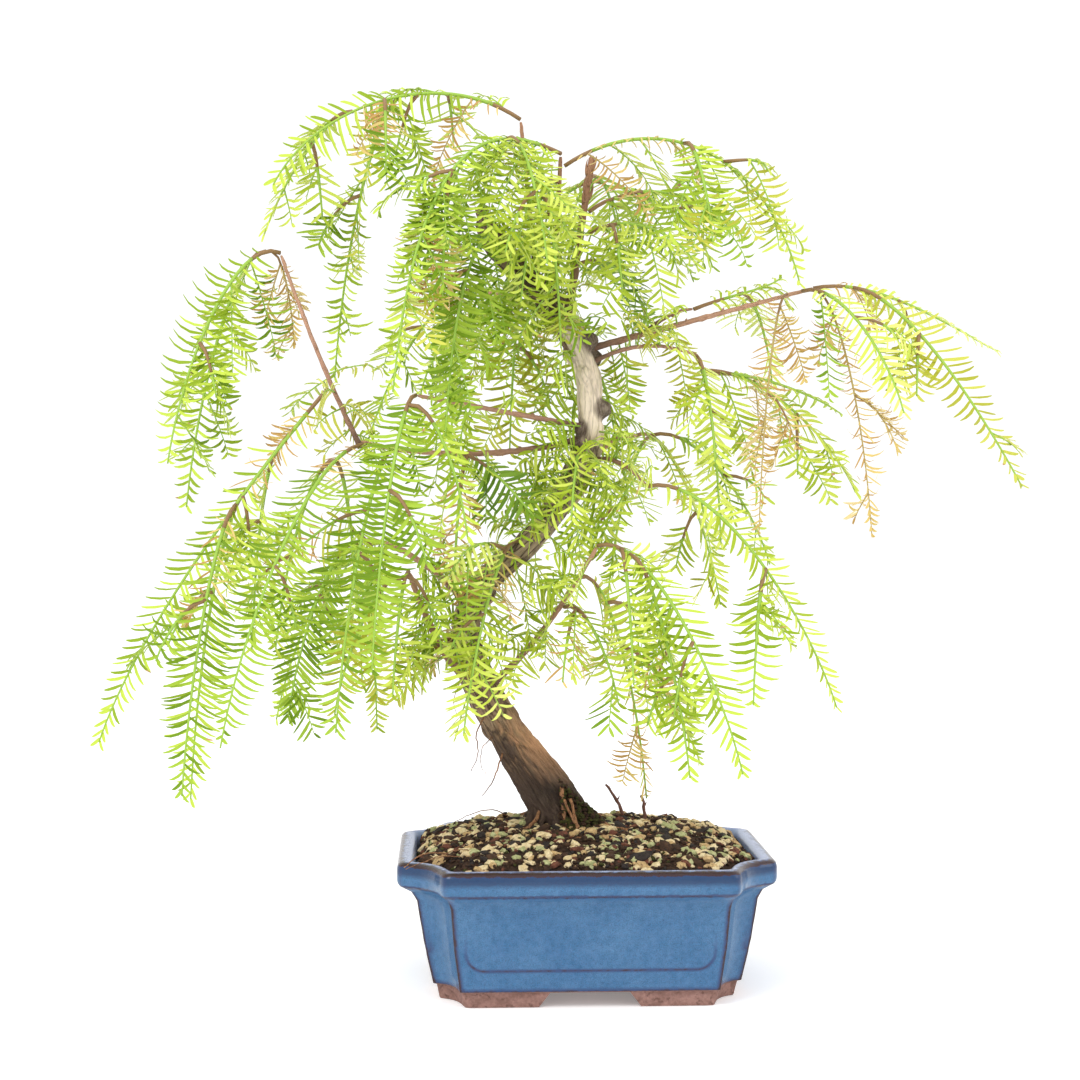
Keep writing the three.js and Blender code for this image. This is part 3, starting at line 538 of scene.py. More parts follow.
def bough_path(foot: np.ndarray, tip: np.ndarray, arch: float) -> Path:
    """Returns the arch of a bough, which bows up or down between its foot and its tip.

    Args:
        foot: Where it starts.
        tip: Where it ends.
        arch: How far it bows up, in millimetres.

    Returns:
        The curve.
    """
    span = tip - foot
    bow = UP * arch * BOW_OF_ARCH
    return cubic(foot, foot + span * 0.33 + bow, foot + span * 0.67 + bow, tip)


def shoot_path(root: np.ndarray, end: np.ndarray, rise: float, hang: float) -> Path:
    """Returns the arch of a weeping shoot, which climbs by rise and falls its last stretch straight.

    Args:
        root: Where it starts.
        end: Where it ends.
        rise: How far it climbs, in millimetres.
        hang: How long its last straight stretch is, in millimetres.

    Returns:
        The curve.
    """
    reach = end - root
    climb = np.array([reach[0] * 0.35, reach[1] * 0.35, rise])
    fall = np.array([-reach[0] * 0.15, -reach[1] * 0.15, hang])
    return cubic(root, root + climb, end + fall, end)


def frames_along(path: Path, shares: np.ndarray) -> tuple[np.ndarray, np.ndarray, np.ndarray]:
    """Carries a cross frame along a path without twisting it.

    Args:
        path: The path.
        shares: Rising shares of its length.

    Returns:
        The directions along, sideways and the third one, a row for each share.
    """
    along = path.tangent(shares)
    seed = np.array([0.0, 1.0, 0.0]) if abs(along[0][1]) < 0.8 else np.array([1.0, 0.0, 0.0])
    side = unit(np.cross(seed, along[0]))
    sides = []
    for direction in along:
        side = unit(side - direction * np.dot(side, direction))
        sides.append(side)
    sideways = np.array(sides)
    return along, sideways, np.cross(along, sideways)


@dataclass
class Limb:
    """The trunk or a bough as the solids have it: its path, and its radius at a share of its length."""

    path: Path
    radius: Callable[[np.ndarray], np.ndarray]

    def seat(self, share: float, lead: np.ndarray, radius: float) -> np.ndarray:
        """Finds where something that grows on this limb starts.

        Args:
            share: How far along the limb it grows.
            lead: The direction in which it leads off.
            radius: Its own radius at its foot.

        Returns:
            The point just clear of the limb.
        """
        along = self.path.tangent(share)
        axis = self.path.point(share)
        lead = unit(lead)
        forward = float(np.dot(lead, along))
        if share == 1 and forward > 0.2:
            return axis + along * (GAP + radius * math.sqrt(1 - forward**2))
        outward = unit(lead - along * forward)
        edge = radius * math.sqrt(max(0.0, 1 - float(np.dot(lead, outward)) ** 2))
        return axis + outward * (float(self.radius(np.array(share))) + GAP + edge)


class Growth:
    """Works out where every limb and shoot lies, by the rule of the solids' source."""

    def __init__(self) -> None:
        """Sets out the limbs and then the masses, drawing numbers in the source's order."""
        self.limbs: dict[str, Limb] = {}
        self.leads: dict[str, np.ndarray] = {}
        self.sprays: dict[str, list[tuple[Path, np.ndarray, int]]] = {}
        trunk = through(TRUNK[:, :3])
        stations = np.arange(len(TRUNK))
        flat_share = (1 + math.cos(math.pi / TRUNK_SIDES)) / 2

        def trunk_radius(share: np.ndarray) -> np.ndarray:
            """Returns the radius at which limbs sit on the trunk."""
            return np.interp(trunk.parameter(share) * stations[-1], stations, TRUNK[:, 3]) * flat_share

        self.limbs["trunk"] = Limb(trunk, trunk_radius)
        for name, bough in BOUGHS.items():
            self.add_bough(name, bough)
        random = SeededNumbers(SEED)
        for name, mass in FOLIAGE.items():
            self.add_mass(name, mass, random)

    def add_bough(self, name: str, bough: Bough) -> None:
        """Sets out one bough on what it grows on.

        Args:
            name: Its name.
            bough: Where it grows, its tip, arch and radii.
        """
        reach = np.array(bough.tip, float)
        lead = reach + UP * LEAD_OF_ARCH * bough.arch
        foot = self.limbs[bough.on].seat(bough.at, lead, bough.radii[0])
        start, end = bough.radii
        self.leads[name] = unit(lead)
        self.limbs[name] = Limb(
            bough_path(foot, foot + reach, bough.arch),
            lambda share, start=start, end=end: start + (end - start) * np.asarray(share, float),
        )

    def add_mass(self, name: str, mass: Mass, random: SeededNumbers) -> None:
        """Sets out the shoots and branchlets of one mass.

        Args:
            name: Its name.
            mass: Where it grows, and its shoots.
            random: The run of numbers that all masses share.
        """
        stem = mass.shoots[0]
        reach = np.array(stem.tip, float)
        lead = np.array([reach[0] * 0.35, reach[1] * 0.35, stem.rise])
        foot_radius = math.hypot(TWIG_HALF_WIDTH, TWIG_HALF_THICKNESS)
        root = self.limbs[mass.on].seat(mass.at, lead, foot_radius)
        stem_path = shoot_path(root, root + reach, stem.rise, stem.hang)
        paths = [(stem_path, 0)]
        for order, shoot in enumerate(mass.shoots[1:], 1):
            start = stem_path.point(shoot.start)
            tip = root + np.array(shoot.tip, float)
            paths.append((shoot_path(start, tip, shoot.rise, shoot.hang), order))
        sprays = [(path, self.facing(random), order) for path, order in paths]
        for path, order in paths:
            if path.length > BRANCHLET_STEM:
                side = -1 if random() < 0.5 else 1
                small = (self.branchlet(path, side, random), self.facing(random), order)
                if small[0].point(1.0)[2] >= CROWN_FLOOR:
                    sprays.append(small)
        self.sprays[name] = sprays

    def branchlet(self, path: Path, side: int, random: SeededNumbers) -> Path:
        """Returns a small side shoot of a long one.

        Args:
            path: The long one.
            side: 1 or -1, for the side it grows to.
            random: The run of numbers that all masses share.

        Returns:
            Its path.
        """
        share = random.between(BRANCHLET_EARLIEST, BRANCHLET_LATEST)
        start, along = path.point(share), path.tangent(share)
        across = unit(np.cross(along, np.array([0.0, 1.0, 0.0])))
        length = BRANCHLET_REACH * (BRANCHLET_LEAST + BRANCHLET_VARIES * random())
        sway = np.array([0.0, (random() - 0.5) * length * 0.8, -length * 0.35])
        end = start + across * side * length * 0.5 + along * length * 0.45 + sway
        return shoot_path(start, end, 0, length * 0.3)

    def facing(self, random: SeededNumbers) -> np.ndarray:
        """Returns a direction that a spray faces: towards the front, turned and tilted up a little."""
        turn = (random() - 0.5) * FACING_TURN
        return unit(np.array([math.sin(turn), -math.cos(turn), FACING_TILT]))


# ---- Mesh making ----


def deselect() -> None:
    """Leaves object mode with nothing selected."""
    if bpy.context.object and bpy.context.object.mode != "OBJECT":
        bpy.ops.object.mode_set(mode="OBJECT")
    bpy.ops.object.select_all(action="DESELECT")


def activate(piece: bpy.types.Object) -> None:
    """Makes a piece the only selected and the active one.

    Args:
        piece: The piece.
    """
    deselect()
    piece.select_set(True)
    bpy.context.view_layer.objects.active = piece


@contextmanager
def edited(piece: bpy.types.Object) -> Iterator[None]:
    """Has all of a piece selected in edit mode for as long as the block lasts.

    Args:
        piece: The piece.

    Yields:
        Nothing, once the piece is in edit mode.
    """
    activate(piece)
    bpy.ops.object.mode_set(mode="EDIT")
    bpy.ops.mesh.select_all(action="SELECT")
    yield
    bpy.ops.object.mode_set(mode="OBJECT")


def finish(piece: bpy.types.Object, *finishes: "Finish") -> None:
    """Gives a smooth piece its finishes, and no others.

    Args:
        piece: The piece.
        finishes: The materials, in the order of the faces' numbers.
    """
    piece.data.materials.clear()
    for each in finishes:
        piece.data.materials.append(each.make())
    piece.data.polygons.foreach_set("use_smooth", np.full(len(piece.data.polygons), True))


def tree_of_points(points: Sequence[np.ndarray]) -> kdtree.KDTree:
    """Returns a tree that finds the nearest of some points.

    Args:
        points: The points, one to a row.

    Returns:
        The tree.
    """
    tree = kdtree.KDTree(len(points))
    for order, point in enumerate(points):
        tree.insert(point, order)
    tree.balance()
    return tree


def apply_modifier(piece: bpy.types.Object, kind: str, **settings: object) -> None:
    """Adds a modifier to a piece with its settings, and applies it.

    Args:
        piece: The piece.
        kind: The modifier's type, as Blender names it.
        settings: Its settings by name.
    """
    activate(piece)
    modifier = piece.modifiers.new(kind.lower(), kind)
    for name, value in settings.items():
        setattr(modifier, name, value)
    bpy.ops.object.modifier_apply(modifier=modifier.name)


def positions(piece: bpy.types.Object) -> np.ndarray:
    """Returns a mesh's vertices, in millimetres of the pot's frame.

    Args:
        piece: The piece.

    Returns:
        The points, one to a row.
    """
    flat = np.empty(len(piece.data.vertices) * 3, np.float32)
    piece.data.vertices.foreach_get("co", flat)
    return PLACE.back(flat.reshape(-1, 3).astype(float))


def normals(piece: bpy.types.Object) -> np.ndarray:
    """Returns a mesh's vertex normals.

    Args:
        piece: The piece.

    Returns:
        The unit normals, one to a row.
    """
    flat = np.empty(len(piece.data.vertices) * 3, np.float32)
    piece.data.vertex_normals.foreach_get("vector", flat)
    return flat.reshape(-1, 3).astype(float)


def move_to(piece: bpy.types.Object, points: np.ndarray) -> None:
    """Puts a mesh's vertices at points of the pot's frame, in millimetres."""
    piece.data.vertices.foreach_set("co", PLACE.out(points).astype(np.float32).ravel())
    piece.data.update()


def note(piece: bpy.types.Object, name: str, values: np.ndarray) -> None:
    """Writes a number or a vector to each vertex of a piece, for its finish to read.

    Args:
        piece: The piece.
        name: The name that the finish reads.
        values: One to a vertex.
    """
    kind = "FLOAT" if values.ndim == 1 else "FLOAT_VECTOR"
    attribute = piece.data.attributes.new(name, kind, "POINT")
    key = "value" if values.ndim == 1 else "vector"
    attribute.data.foreach_set(key, values.astype(np.float32).ravel())


def from_arrays(
    name: str,
    points: np.ndarray,
    faces: Sequence[np.ndarray],
    finishes: Sequence[bpy.types.Material],
    finish_of: np.ndarray | None = None,
    smooth: bool = True,
) -> bpy.types.Object:
    """Makes one joined mesh of many small things.

    Args:
        name: The piece's name.
        points: Vertices in the pot's frame, in millimetres.
        faces: Arrays of faces, one for each number of corners.
        finishes: The materials.
        finish_of: Which material each face takes, in the order of the faces.
        smooth: Whether the faces are shaded smooth.

    Returns:
        The new object.
    """
    mesh = bpy.data.meshes.new(name)
    corners = np.concatenate([block.ravel() for block in faces]).astype(np.int32)
    sizes = np.concatenate([np.full(len(block), block.shape[1]) for block in faces])
    mesh.vertices.add(len(points))
    mesh.loops.add(len(corners))
    mesh.polygons.add(len(sizes))
    mesh.vertices.foreach_set("co", PLACE.out(points).astype(np.float32).ravel())
    mesh.loops.foreach_set("vertex_index", corners)
    starts = np.concatenate([[0], np.cumsum(sizes)[:-1]]).astype(np.int32)
    mesh.polygons.foreach_set("loop_start", starts)
    for finish in finishes:
        mesh.materials.append(finish)
    if finish_of is not None:
        mesh.polygons.foreach_set("material_index", finish_of.astype(np.int32))
    mesh.polygons.foreach_set("use_smooth", np.full(len(sizes), smooth))
    mesh.update(calc_edges=True)
    mesh.validate()
    piece = bpy.data.objects.new(name, mesh)
    bpy.context.scene.collection.objects.link(piece)
    return piece


def loft(name: str, rings: Sequence[np.ndarray]) -> bpy.types.Object:
    """Draws a closed form up through rings: a disc is added, and its face is extruded ring by ring.

    Args:
        name: The piece's name.
        rings: Rings of equal numbers of points in the pot's frame, in millimetres, bottom first.

    Returns:
        The new object.
    """
    deselect()
    sides = len(rings[0])
    bpy.ops.mesh.primitive_circle_add(vertices=sides, radius=MM, fill_type="NGON", enter_editmode=True)
    piece = bpy.context.object
    piece.name = piece.data.name = name
    bpy.ops.mesh.normals_make_consistent(inside=True)
    mesh = bmesh.from_edit_mesh(piece.data)
    mesh.verts.ensure_lookup_table()
    ring = list(mesh.verts)
    for vertex, point in zip(ring, PLACE.out(rings[0])):
        vertex.co = point
    for points in rings[1:]:
        bpy.ops.mesh.extrude_region_move()
        mesh = bmesh.from_edit_mesh(piece.data)
        ring = [
            next(e.other_vert(v) for e in v.link_edges if e.other_vert(v).select and not v.select)
            for v in ring
        ]
        for vertex, point in zip(ring, PLACE.out(points)):
            vertex.co = point
    bmesh.update_edit_mesh(piece.data)
    bpy.ops.mesh.select_all(action="SELECT")
    bpy.ops.mesh.normals_make_consistent(inside=False)
    bpy.ops.object.mode_set(mode="OBJECT")
    centre(piece)
    return piece


def centre(piece: bpy.types.Object) -> None:
    """Leaves a piece's place in its mesh, with its object at the origin."""
    activate(piece)
    bpy.ops.object.transform_apply(location=True, rotation=True, scale=True)


def join(name: str, pieces: Sequence[bpy.types.Object]) -> bpy.types.Object:
    """Joins pieces into the first of them.

    Args:
        name: The name that it takes.
        pieces: One piece or more.

    Returns:
        The joined piece.
    """
    activate(pieces[0])
    for piece in pieces:
        piece.select_set(True)
    if len(pieces) > 1:
        bpy.ops.object.join()
    pieces[0].name = pieces[0].data.name = name
    return pieces[0]


@dataclass
class Strands:
    """Gathers many thin tapering strands, such as twigs and roots, for one joined mesh."""

    sides: int = 5
    points: list[np.ndarray] = field(default_factory=list)
    faces: list[np.ndarray] = field(default_factory=list)
    caps: list[np.ndarray] = field(default_factory=list)
    finish: list[int] = field(default_factory=list)
    cap_finish: list[int] = field(default_factory=list)
    count: int = 0

    def add(self, line: np.ndarray, radii: np.ndarray, finish: int = 0) -> None:
        """Adds one strand.

        Args:
            line: Points along its middle, in the pot's frame, in millimetres.
            radii: Its radius at each point.
            finish: Which material it takes.
        """
        along = unit(np.gradient(line, axis=0))
        seed = np.array([0.3, 0.9, 0.2]) if abs(along[0][1]) < 0.8 else np.array([1.0, 0.0, 0.1])
        side = unit(np.cross(seed, along[0]))
        angles = np.arange(self.sides) * 2 * math.pi / self.sides
        rings = []
        for point, direction, radius in zip(line, along, radii):
            side = unit(side - direction * np.dot(side, direction))
            third = np.cross(direction, side)
            rings.append(point + radius * (np.cos(angles)[:, None] * side + np.sin(angles)[:, None] * third))
        steps = len(line)
        index = self.count + np.arange(steps * self.sides).reshape(steps, self.sides)
        after = np.roll(index, -1, axis=1)
        quads = np.stack([index[:-1], after[:-1], after[1:], index[1:]], axis=-1).reshape(-1, 4)
        self.points.append(np.concatenate(rings))
        self.faces.append(quads)
        self.caps.append(np.stack([index[0][::-1], index[-1]]))
        self.finish += [finish] * len(quads)
        self.cap_finish += [finish] * 2
        self.count += steps * self.sides

    def build(self, name: str, finishes: Sequence[bpy.types.Material]) -> bpy.types.Object:
        """Returns the joined mesh of every strand.

        Args:
            name: The piece's name.
            finishes: Its materials.

        Returns:
            The piece.
        """
        faces = [np.concatenate(self.faces), np.concatenate(self.caps)]
        finish = np.array(self.finish + self.cap_finish)
        return from_arrays(name, np.concatenate(self.points), faces, finishes, finish)


def points_through(stations: Sequence[Triple], count: int) -> np.ndarray:
    """Returns evenly spaced points along the curve through stations."""
    return through(np.array(stations, float)).point(np.linspace(0, 1, count))


def bent_line(start: np.ndarray, end: np.ndarray, bow: np.ndarray, steps: int = 6) -> np.ndarray:
    """Returns points from start to end along an arc that is pushed aside by bow at its middle."""
    share = np.linspace(0, 1, steps + 1)[:, None]
    return start + (end - start) * share + bow * 4 * share * (1 - share)


def wavering(line: np.ndarray, size: float, seed: float) -> np.ndarray:
    """Returns a line whose inner points wander by about size.

    Args:
        line: The points, one to a row.
        size: In millimetres.
        seed: Tells this line from others.

    Returns:
        The line with its ends in place.
    """
    moved = line.copy()
    for row in range(1, len(line)):
        wander = [noise.noise(Vector((row * 0.9, seed, 0.37 + 7.3 * axis))) for axis in range(3)]
        moved[row] += np.array(wander) * size
    return moved


# ---- Finishes ----


class Value:
    """What a node gives, which can be added, taken away and multiplied like a number."""

    def __init__(self, draw: "Sketch", socket: bpy.types.NodeSocket) -> None:
        """Holds on to a node's output."""
        self.draw, self.socket = draw, socket

    def __add__(self, other: "Value | float") -> "Value":
        """Returns the sum."""
        return self.draw.math("ADD", self, other)

    def __sub__(self, other: "Value | float") -> "Value":
        """Returns the difference."""
        return self.draw.math("SUBTRACT", self, other)

    def __mul__(self, other: "Value | float") -> "Value":
        """Returns the product."""
        return self.draw.math("MULTIPLY", self, other)

    def __abs__(self) -> "Value":
        """Returns the size without its sign."""
        return self.draw.math("ABSOLUTE", self)


class Sketch:
    """Draws a node tree: each call adds one node, with its inputs set or joined up."""

    def __init__(self, tree: bpy.types.NodeTree) -> None:
        """Starts on a tree."""
        self.tree = tree

    def feed(self, node: bpy.types.Node, **inputs: object) -> None:
        """Sets or joins up a node's inputs.

        Args:
            node: The node.
            **inputs: What each input takes, under its name with _ for a space, or in0, in1 and so on.
                Three numbers for a colour are as it looks on a screen, and four are linear.
        """
        for name, value in inputs.items():
            numbered = name.startswith("in") and name[2:].isdigit()
            socket = node.inputs[int(name[2:]) if numbered else name.replace("_", " ")]
            if isinstance(value, Value):
                self.tree.links.new(value.socket, socket)
            else:
                socket.default_value = linear(value) if socket.type == "RGBA" else value

    def node(self, kind: str, settings: dict[str, object] | None = None, **inputs: object) -> bpy.types.Node:
        """Adds a node.

        Args:
            kind: The node's type name without its prefix.
            settings: Its own properties.
            **inputs: What its inputs take, as for feed.

        Returns:
            The node.
        """
        node = self.tree.nodes.new(f"ShaderNode{kind}")
        for name, value in (settings or {}).items():
            setattr(node, name, value)
        self.feed(node, **inputs)
        return node

    def add(self, kind: str, output: int | str = 0, **inputs: object) -> Value:
        """Adds a node, and returns one of its outputs."""
        return Value(self, self.node(kind, **inputs).outputs[output])

    def note(self, name: str, output: str = "Fac") -> Value:
        """Returns what was noted on the mesh under a name."""
        return self.add("Attribute", output, settings={"attribute_name": name})

    def math(self, operation: str, first: object, second: object = 0.0) -> Value:
        """Returns the result of a sum on two values."""
        return self.add("Math", settings={"operation": operation}, in0=first, in1=second)

    def fit(
        self, value: Value, low: Value | float, high: Value | float,
        new_low: float = 0.0, new_high: float = 1.0,
    ) -> Value:
        """Returns a value carried from one range to another, and held inside it."""
        return self.add("MapRange", in0=value, in1=low, in2=high, in3=new_low, in4=new_high)

    def blend(self, share: object, first: object, second: object, way: str = "MIX") -> Value:
        """Returns a colour between two colours."""
        settings = {"data_type": "RGBA", "blend_type": way}
        return self.add("Mix", 2, settings=settings, in0=share, in6=first, in7=second)

    def ramp(self, value: Value, stops: Sequence[tuple[float, Sequence[float]]]) -> Value:
        """Returns the colour at a value along stops of place and colour.

        Args:
            value: The value.
            stops: At least two places from 0 to 1 in rising order, each with its colour as for feed.

        Returns:
            The colour.
        """
        node = self.node("ValToRGB", in0=value)
        elements = node.color_ramp.elements
        for order, (place, colour) in enumerate(stops):
            element = elements[order] if order < 2 else elements.new(place)
            element.position = place
            element.color = linear(colour)
        return Value(self, node.outputs[0])

    def speckle(self, vector: Value, scale: float, middle: float, edge: float) -> Value:
        """Returns cloudy marks over a vector, from 0 to 1, sharper as their edge narrows."""
        inputs = {"Vector": vector, "Scale": scale, "Middle": middle, "Edge": edge}
        return self.add("Group", "Mask", settings={"node_tree": speckle_group()}, **inputs)

    def relief(self, height: Value, depth: float, strength: float) -> Value:
        """Returns the normal of fine relief, depth metres deep."""
        return self.add("Bump", Height=height, Distance=depth, Strength=strength)


def linear(colour: Sequence[float]) -> tuple[float, ...]:
    """Returns a colour in Blender's linear numbers.

    Args:
        colour: Three numbers from 0 to 255 as they look on a screen, or four that are linear already.

    Returns:
        The four linear numbers.
    """
    if len(colour) == 4:
        return tuple(colour)
    shares = [value / 255 for value in colour]
    return (*(s / 12.92 if s <= 0.04045 else ((s + 0.055) / 1.055) ** 2.4 for s in shares), 1.0)


def speckle_group() -> bpy.types.NodeTree:
    """Returns the shared group that draws cloudy marks, making it the first time.

    Returns:
        The group.
    """
    found = bpy.data.node_groups.get("speckle")
    if found:
        return found
    tree = bpy.data.node_groups.new("speckle", "ShaderNodeTree")
    for name in ("Vector", "Scale", "Middle", "Edge"):
        kind = "NodeSocketVector" if name == "Vector" else "NodeSocketFloat"
        tree.interface.new_socket(name, in_out="INPUT", socket_type=kind)
    tree.interface.new_socket("Mask", in_out="OUTPUT", socket_type="NodeSocketFloat")
    draw = Sketch(tree)
    vector, scale, middle, edge = (
        Value(draw, socket) for socket in list(tree.nodes.new("NodeGroupInput").outputs)[:4]
    )
    cloud = draw.add("TexNoise", Vector=vector, Scale=scale, Detail=5.0, Roughness=0.6)
    draw.feed(tree.nodes.new("NodeGroupOutput"), Mask=draw.fit(cloud, middle - edge, middle + edge))
    return tree


@dataclass(frozen=True)
class Finish:
    """A material that is drawn once and then shared. Its kinds say how it looks."""

    name: str

    def make(self) -> bpy.types.Material:
        """Returns the material, drawing it the first time.

        Returns:
            The material.
        """
        found = bpy.data.materials.get(self.name)
        if found:
            return found
        material = bpy.data.materials.new(self.name)
        material.use_nodes = True
        self.draw(Sketch(material.node_tree), material.node_tree.nodes["Principled BSDF"])
        return material

    def draw(self, draw: Sketch, surface: bpy.types.Node) -> None:
        """Sets the surface up; each kind of finish has its own."""
        raise NotImplementedError


@dataclass(frozen=True)
class Leaf(Finish):
    """A needle's or a twig's plain colour."""

    colour: Triple

    def draw(self, draw: Sketch, surface: bpy.types.Node) -> None:
        """Sets a plain colour with a soft gloss."""
        draw.feed(surface, Base_Color=self.colour, Roughness=0.48, Specular_IOR_Level=0.2)


@dataclass(frozen=True)
class Bark(Finish):
    """Bark that runs along its limb: colours from the limb's foot to its end, streaks, flakes and cracks."""

    stops: tuple[tuple[float, Triple], ...]
    streak: Triple
    span: float = 460.0
    coarse: float = 1.0
    smooth: tuple[float, float, float, float] = (2.0, 2.1, 2.2, 2.3)
    worn: Triple = (205, 185, 160)
    # The tan where the bark is noted tan: partly a tan patch and partly a painted highlight on the trunk's
    # right-facing side.
    tan_and_highlight: Triple = (206, 154, 116)
    # The dark colour where the bark is noted dark: darker at the trunk's foot and burls, and painted shade on
    # its left-facing side.
    dark_and_painted_shade: Triple = (84, 68, 58)
    shadow: tuple[float, float, float, float] = (0.32, 0.3, 0.28, 1.0)
    stretch: Triple = (1.0, 1.0, 0.14)

    def draw(self, draw: Sketch, surface: bpy.types.Node) -> None:
        """Draws the bark on the coordinates of the limb laid straight, in millimetres.

        Args:
            draw: Draws in the material's tree.
            surface: The surface that it feeds.
        """
        straight = draw.note("straight", "Vector")
        sway = draw.add("TexNoise", Vector=straight, Scale=0.05, Detail=3.0)
        up = draw.fit(draw.add("SeparateXYZ", 2, in0=straight), 0.0, self.span)
        up = up + draw.fit(sway, 0.3, 0.7, -0.06, 0.06)
        base = draw.ramp(up, self.stops)
        start, full, wane, end = self.smooth
        rough_share = draw.fit(draw.fit(up, start, full) - draw.fit(up, wane, end), 0.0, 1.0, 1.0, 0.32)
        drawn_out = draw.add("Mapping", Vector=straight, Scale=self.stretch)
        streaks = draw.speckle(drawn_out, 0.42 / self.coarse, 0.53, 0.09)
        fine = draw.speckle(drawn_out, 1.5 / self.coarse, 0.5, 0.16)
        patches = draw.speckle(straight, 0.09 / self.coarse, 0.52, 0.12)
        colour = draw.blend(streaks * (rough_share * 0.55), base, self.streak)
        colour = draw.blend(patches * 0.3, colour, draw.blend(0.25, base, self.worn))
        shade = draw.ramp(fine, ((0.0, self.shadow), (1.0, (1, 1, 1, 1))))
        colour = draw.blend(rough_share * 0.5, colour, shade, "MULTIPLY")
        cracks = self.cracks(draw, drawn_out, fine) * rough_share
        colour = draw.blend(cracks, colour, self.streak)
        # Tan: partly a tan patch and partly a painted highlight on the trunk's right-facing side.
        colour = draw.blend(draw.note("tan") * draw.fit(fine, 0.0, 1.0, 0.5, 0.9), colour, self.tan_and_highlight)
        # Dark: darker at the trunk's foot and burls, and painted shade on its left-facing side.
        colour = draw.blend(draw.note("dark") * draw.fit(fine, 0.0, 1.0, 1.0, 0.8), colour, self.dark_and_painted_shade)
        height = streaks * -0.6 + fine * 0.5 - cracks
        draw.feed(
            surface, Base_Color=colour, Specular_IOR_Level=0.25,
            Roughness=draw.fit(fine, 0.0, 1.0, 0.95, 0.72),
            Normal=draw.relief(height, 0.0006 * self.coarse, 0.8),
        )

    def cracks(self, draw: Sketch, vector: Value, fine: Value) -> Value:
        """Returns the lines between long plates of bark, their edges broken by the fine marks.

        Args:
            draw: Draws in the material's tree.
            vector: The coordinates.
            fine: The fine marks.

        Returns:
            The depth of the lines, from 0 to 1.
        """
        settings = {"feature": "DISTANCE_TO_EDGE"}
        plates = draw.add("TexVoronoi", settings=settings, Vector=vector, Scale=0.3 / self.coarse)
        return draw.fit(plates + fine * 0.06, 0.03, 0.13, 0.85, 0.0)


@dataclass(frozen=True)
class Glaze(Finish):
    """A mottled blue glaze that breaks to brown where it runs thin over an edge."""

    deep: Triple = (4, 34, 74)
    body: Triple = (44, 102, 146)
    clear: Triple = (82, 130, 168)
    milky: Triple = (106, 142, 188)
    haze: Triple = (38, 48, 94)
    thin: Triple = (48, 26, 32)
    pooled: Triple = (150, 162, 200)
    drip: tuple[float, float] = (61.8, 4.2)
    rim_line: tuple[float, float] = (63.9, 1.2)
    neck_line: tuple[float, float] = (53.6, 1.1)

    def band(self, draw: Sketch, height: Value, middle: float, half: float) -> Value:
        """Returns 1 at a height in millimetres, falling to 0 half a band away."""
        return draw.fit(abs(height - middle), half * 0.45, half, 1.0, 0.0)

    def draw(self, draw: Sketch, surface: bpy.types.Node) -> None:
        """Mixes the blues in clouds and specks, and lets the body show through along the edges.

        Args:
            draw: Draws in the material's tree.
            surface: The surface that it feeds.
        """
        place = draw.add("TexCoord", "Object")
        clouds = draw.speckle(place, 60.0, 0.5, 0.2)
        freckles = draw.speckle(place, 2700.0, 0.5, 0.14)
        drift = draw.speckle(place, 320.0, 0.52, 0.16)
        height = draw.add("SeparateXYZ", 2, in0=place) * (1 / MM) + (drift - 0.5) * 0.7
        outer = draw.note("outer")
        blue = draw.blend(clouds * 0.55, self.body, self.clear)
        blue = draw.blend(freckles * 0.68, blue, self.deep)
        blue = draw.blend(drift * 0.18, blue, self.milky)
        blue = draw.blend(self.band(draw, height, *self.drip) * outer * 0.8, blue, self.deep)
        blue = draw.blend(draw.note("pooled"), blue, self.pooled)
        edge = self.edge(draw, height, outer)
        broken = draw.fit(edge + (drift - 0.5) * 0.3, 0.46, 0.8)
        fired = draw.blend(draw.fit(edge, 0.02, 0.5) * 0.7, blue, self.haze)
        draw.feed(
            surface, Base_Color=draw.blend(broken, fired, self.thin), Specular_IOR_Level=0.2, Coat_Weight=0.5,
            Coat_Roughness=0.06, Roughness=draw.fit(freckles, 0.0, 1.0, 0.24, 0.4),
            Normal=draw.relief(drift + freckles * 0.3, 0.0002, 0.5),
        )

    def edge(self, draw: Sketch, height: Value, outer: Value) -> Value:
        """Returns how thin the glaze lies: on upright edges, along rim and neck, and round the panels.

        Args:
            draw: Draws in the material's tree.
            height: The height on the pot, in millimetres.
            outer: Whether a place is on the outside, from 0 to 1.

        Returns:
            The thinness, from 0 to 1.
        """
        faint = self.band(draw, height, *self.neck_line) * 0.62
        lines = draw.math("MAXIMUM", self.band(draw, height, *self.rim_line), faint)
        pressed = draw.fit(abs(draw.note("panel") - 0.3), 0.2, 1.3, 0.62, 0.0)
        pressed = pressed * draw.fit(height, 20.0, 36.0, 1.0, 0.0)
        return draw.math("MAXIMUM", draw.math("MAXIMUM", lines * outer, draw.note("edge")), pressed)


@dataclass(frozen=True)
class Dry(Finish):
    """A dull mineral or earthy surface: two colours in clouds, dark pits and a grainy relief."""

    main: Triple
    other: Triple
    pit: Triple
    scale: float = 420.0
    depth: float = 0.0004

    def draw(self, draw: Sketch, surface: bpy.types.Node) -> None:
        """Mixes the two colours, and darkens the pits.

        Args:
            draw: Draws in the material's tree.
            surface: The surface that it feeds.
        """
        place = draw.add("TexCoord", "Object")
        clouds = draw.speckle(place, self.scale, 0.5, 0.14)
        grains = draw.speckle(place, self.scale * 4, 0.5, 0.14)
        pits = draw.speckle(place, self.scale * 2.3, 0.62, 0.05)
        body = draw.blend(grains * 0.25, draw.blend(clouds, self.main, self.other), self.pit)
        draw.feed(
            surface, Base_Color=draw.blend(pits * 0.7, body, self.pit), Roughness=0.9,
            Specular_IOR_Level=0.25, Normal=draw.relief(grains - pits, self.depth, 0.7),
        )
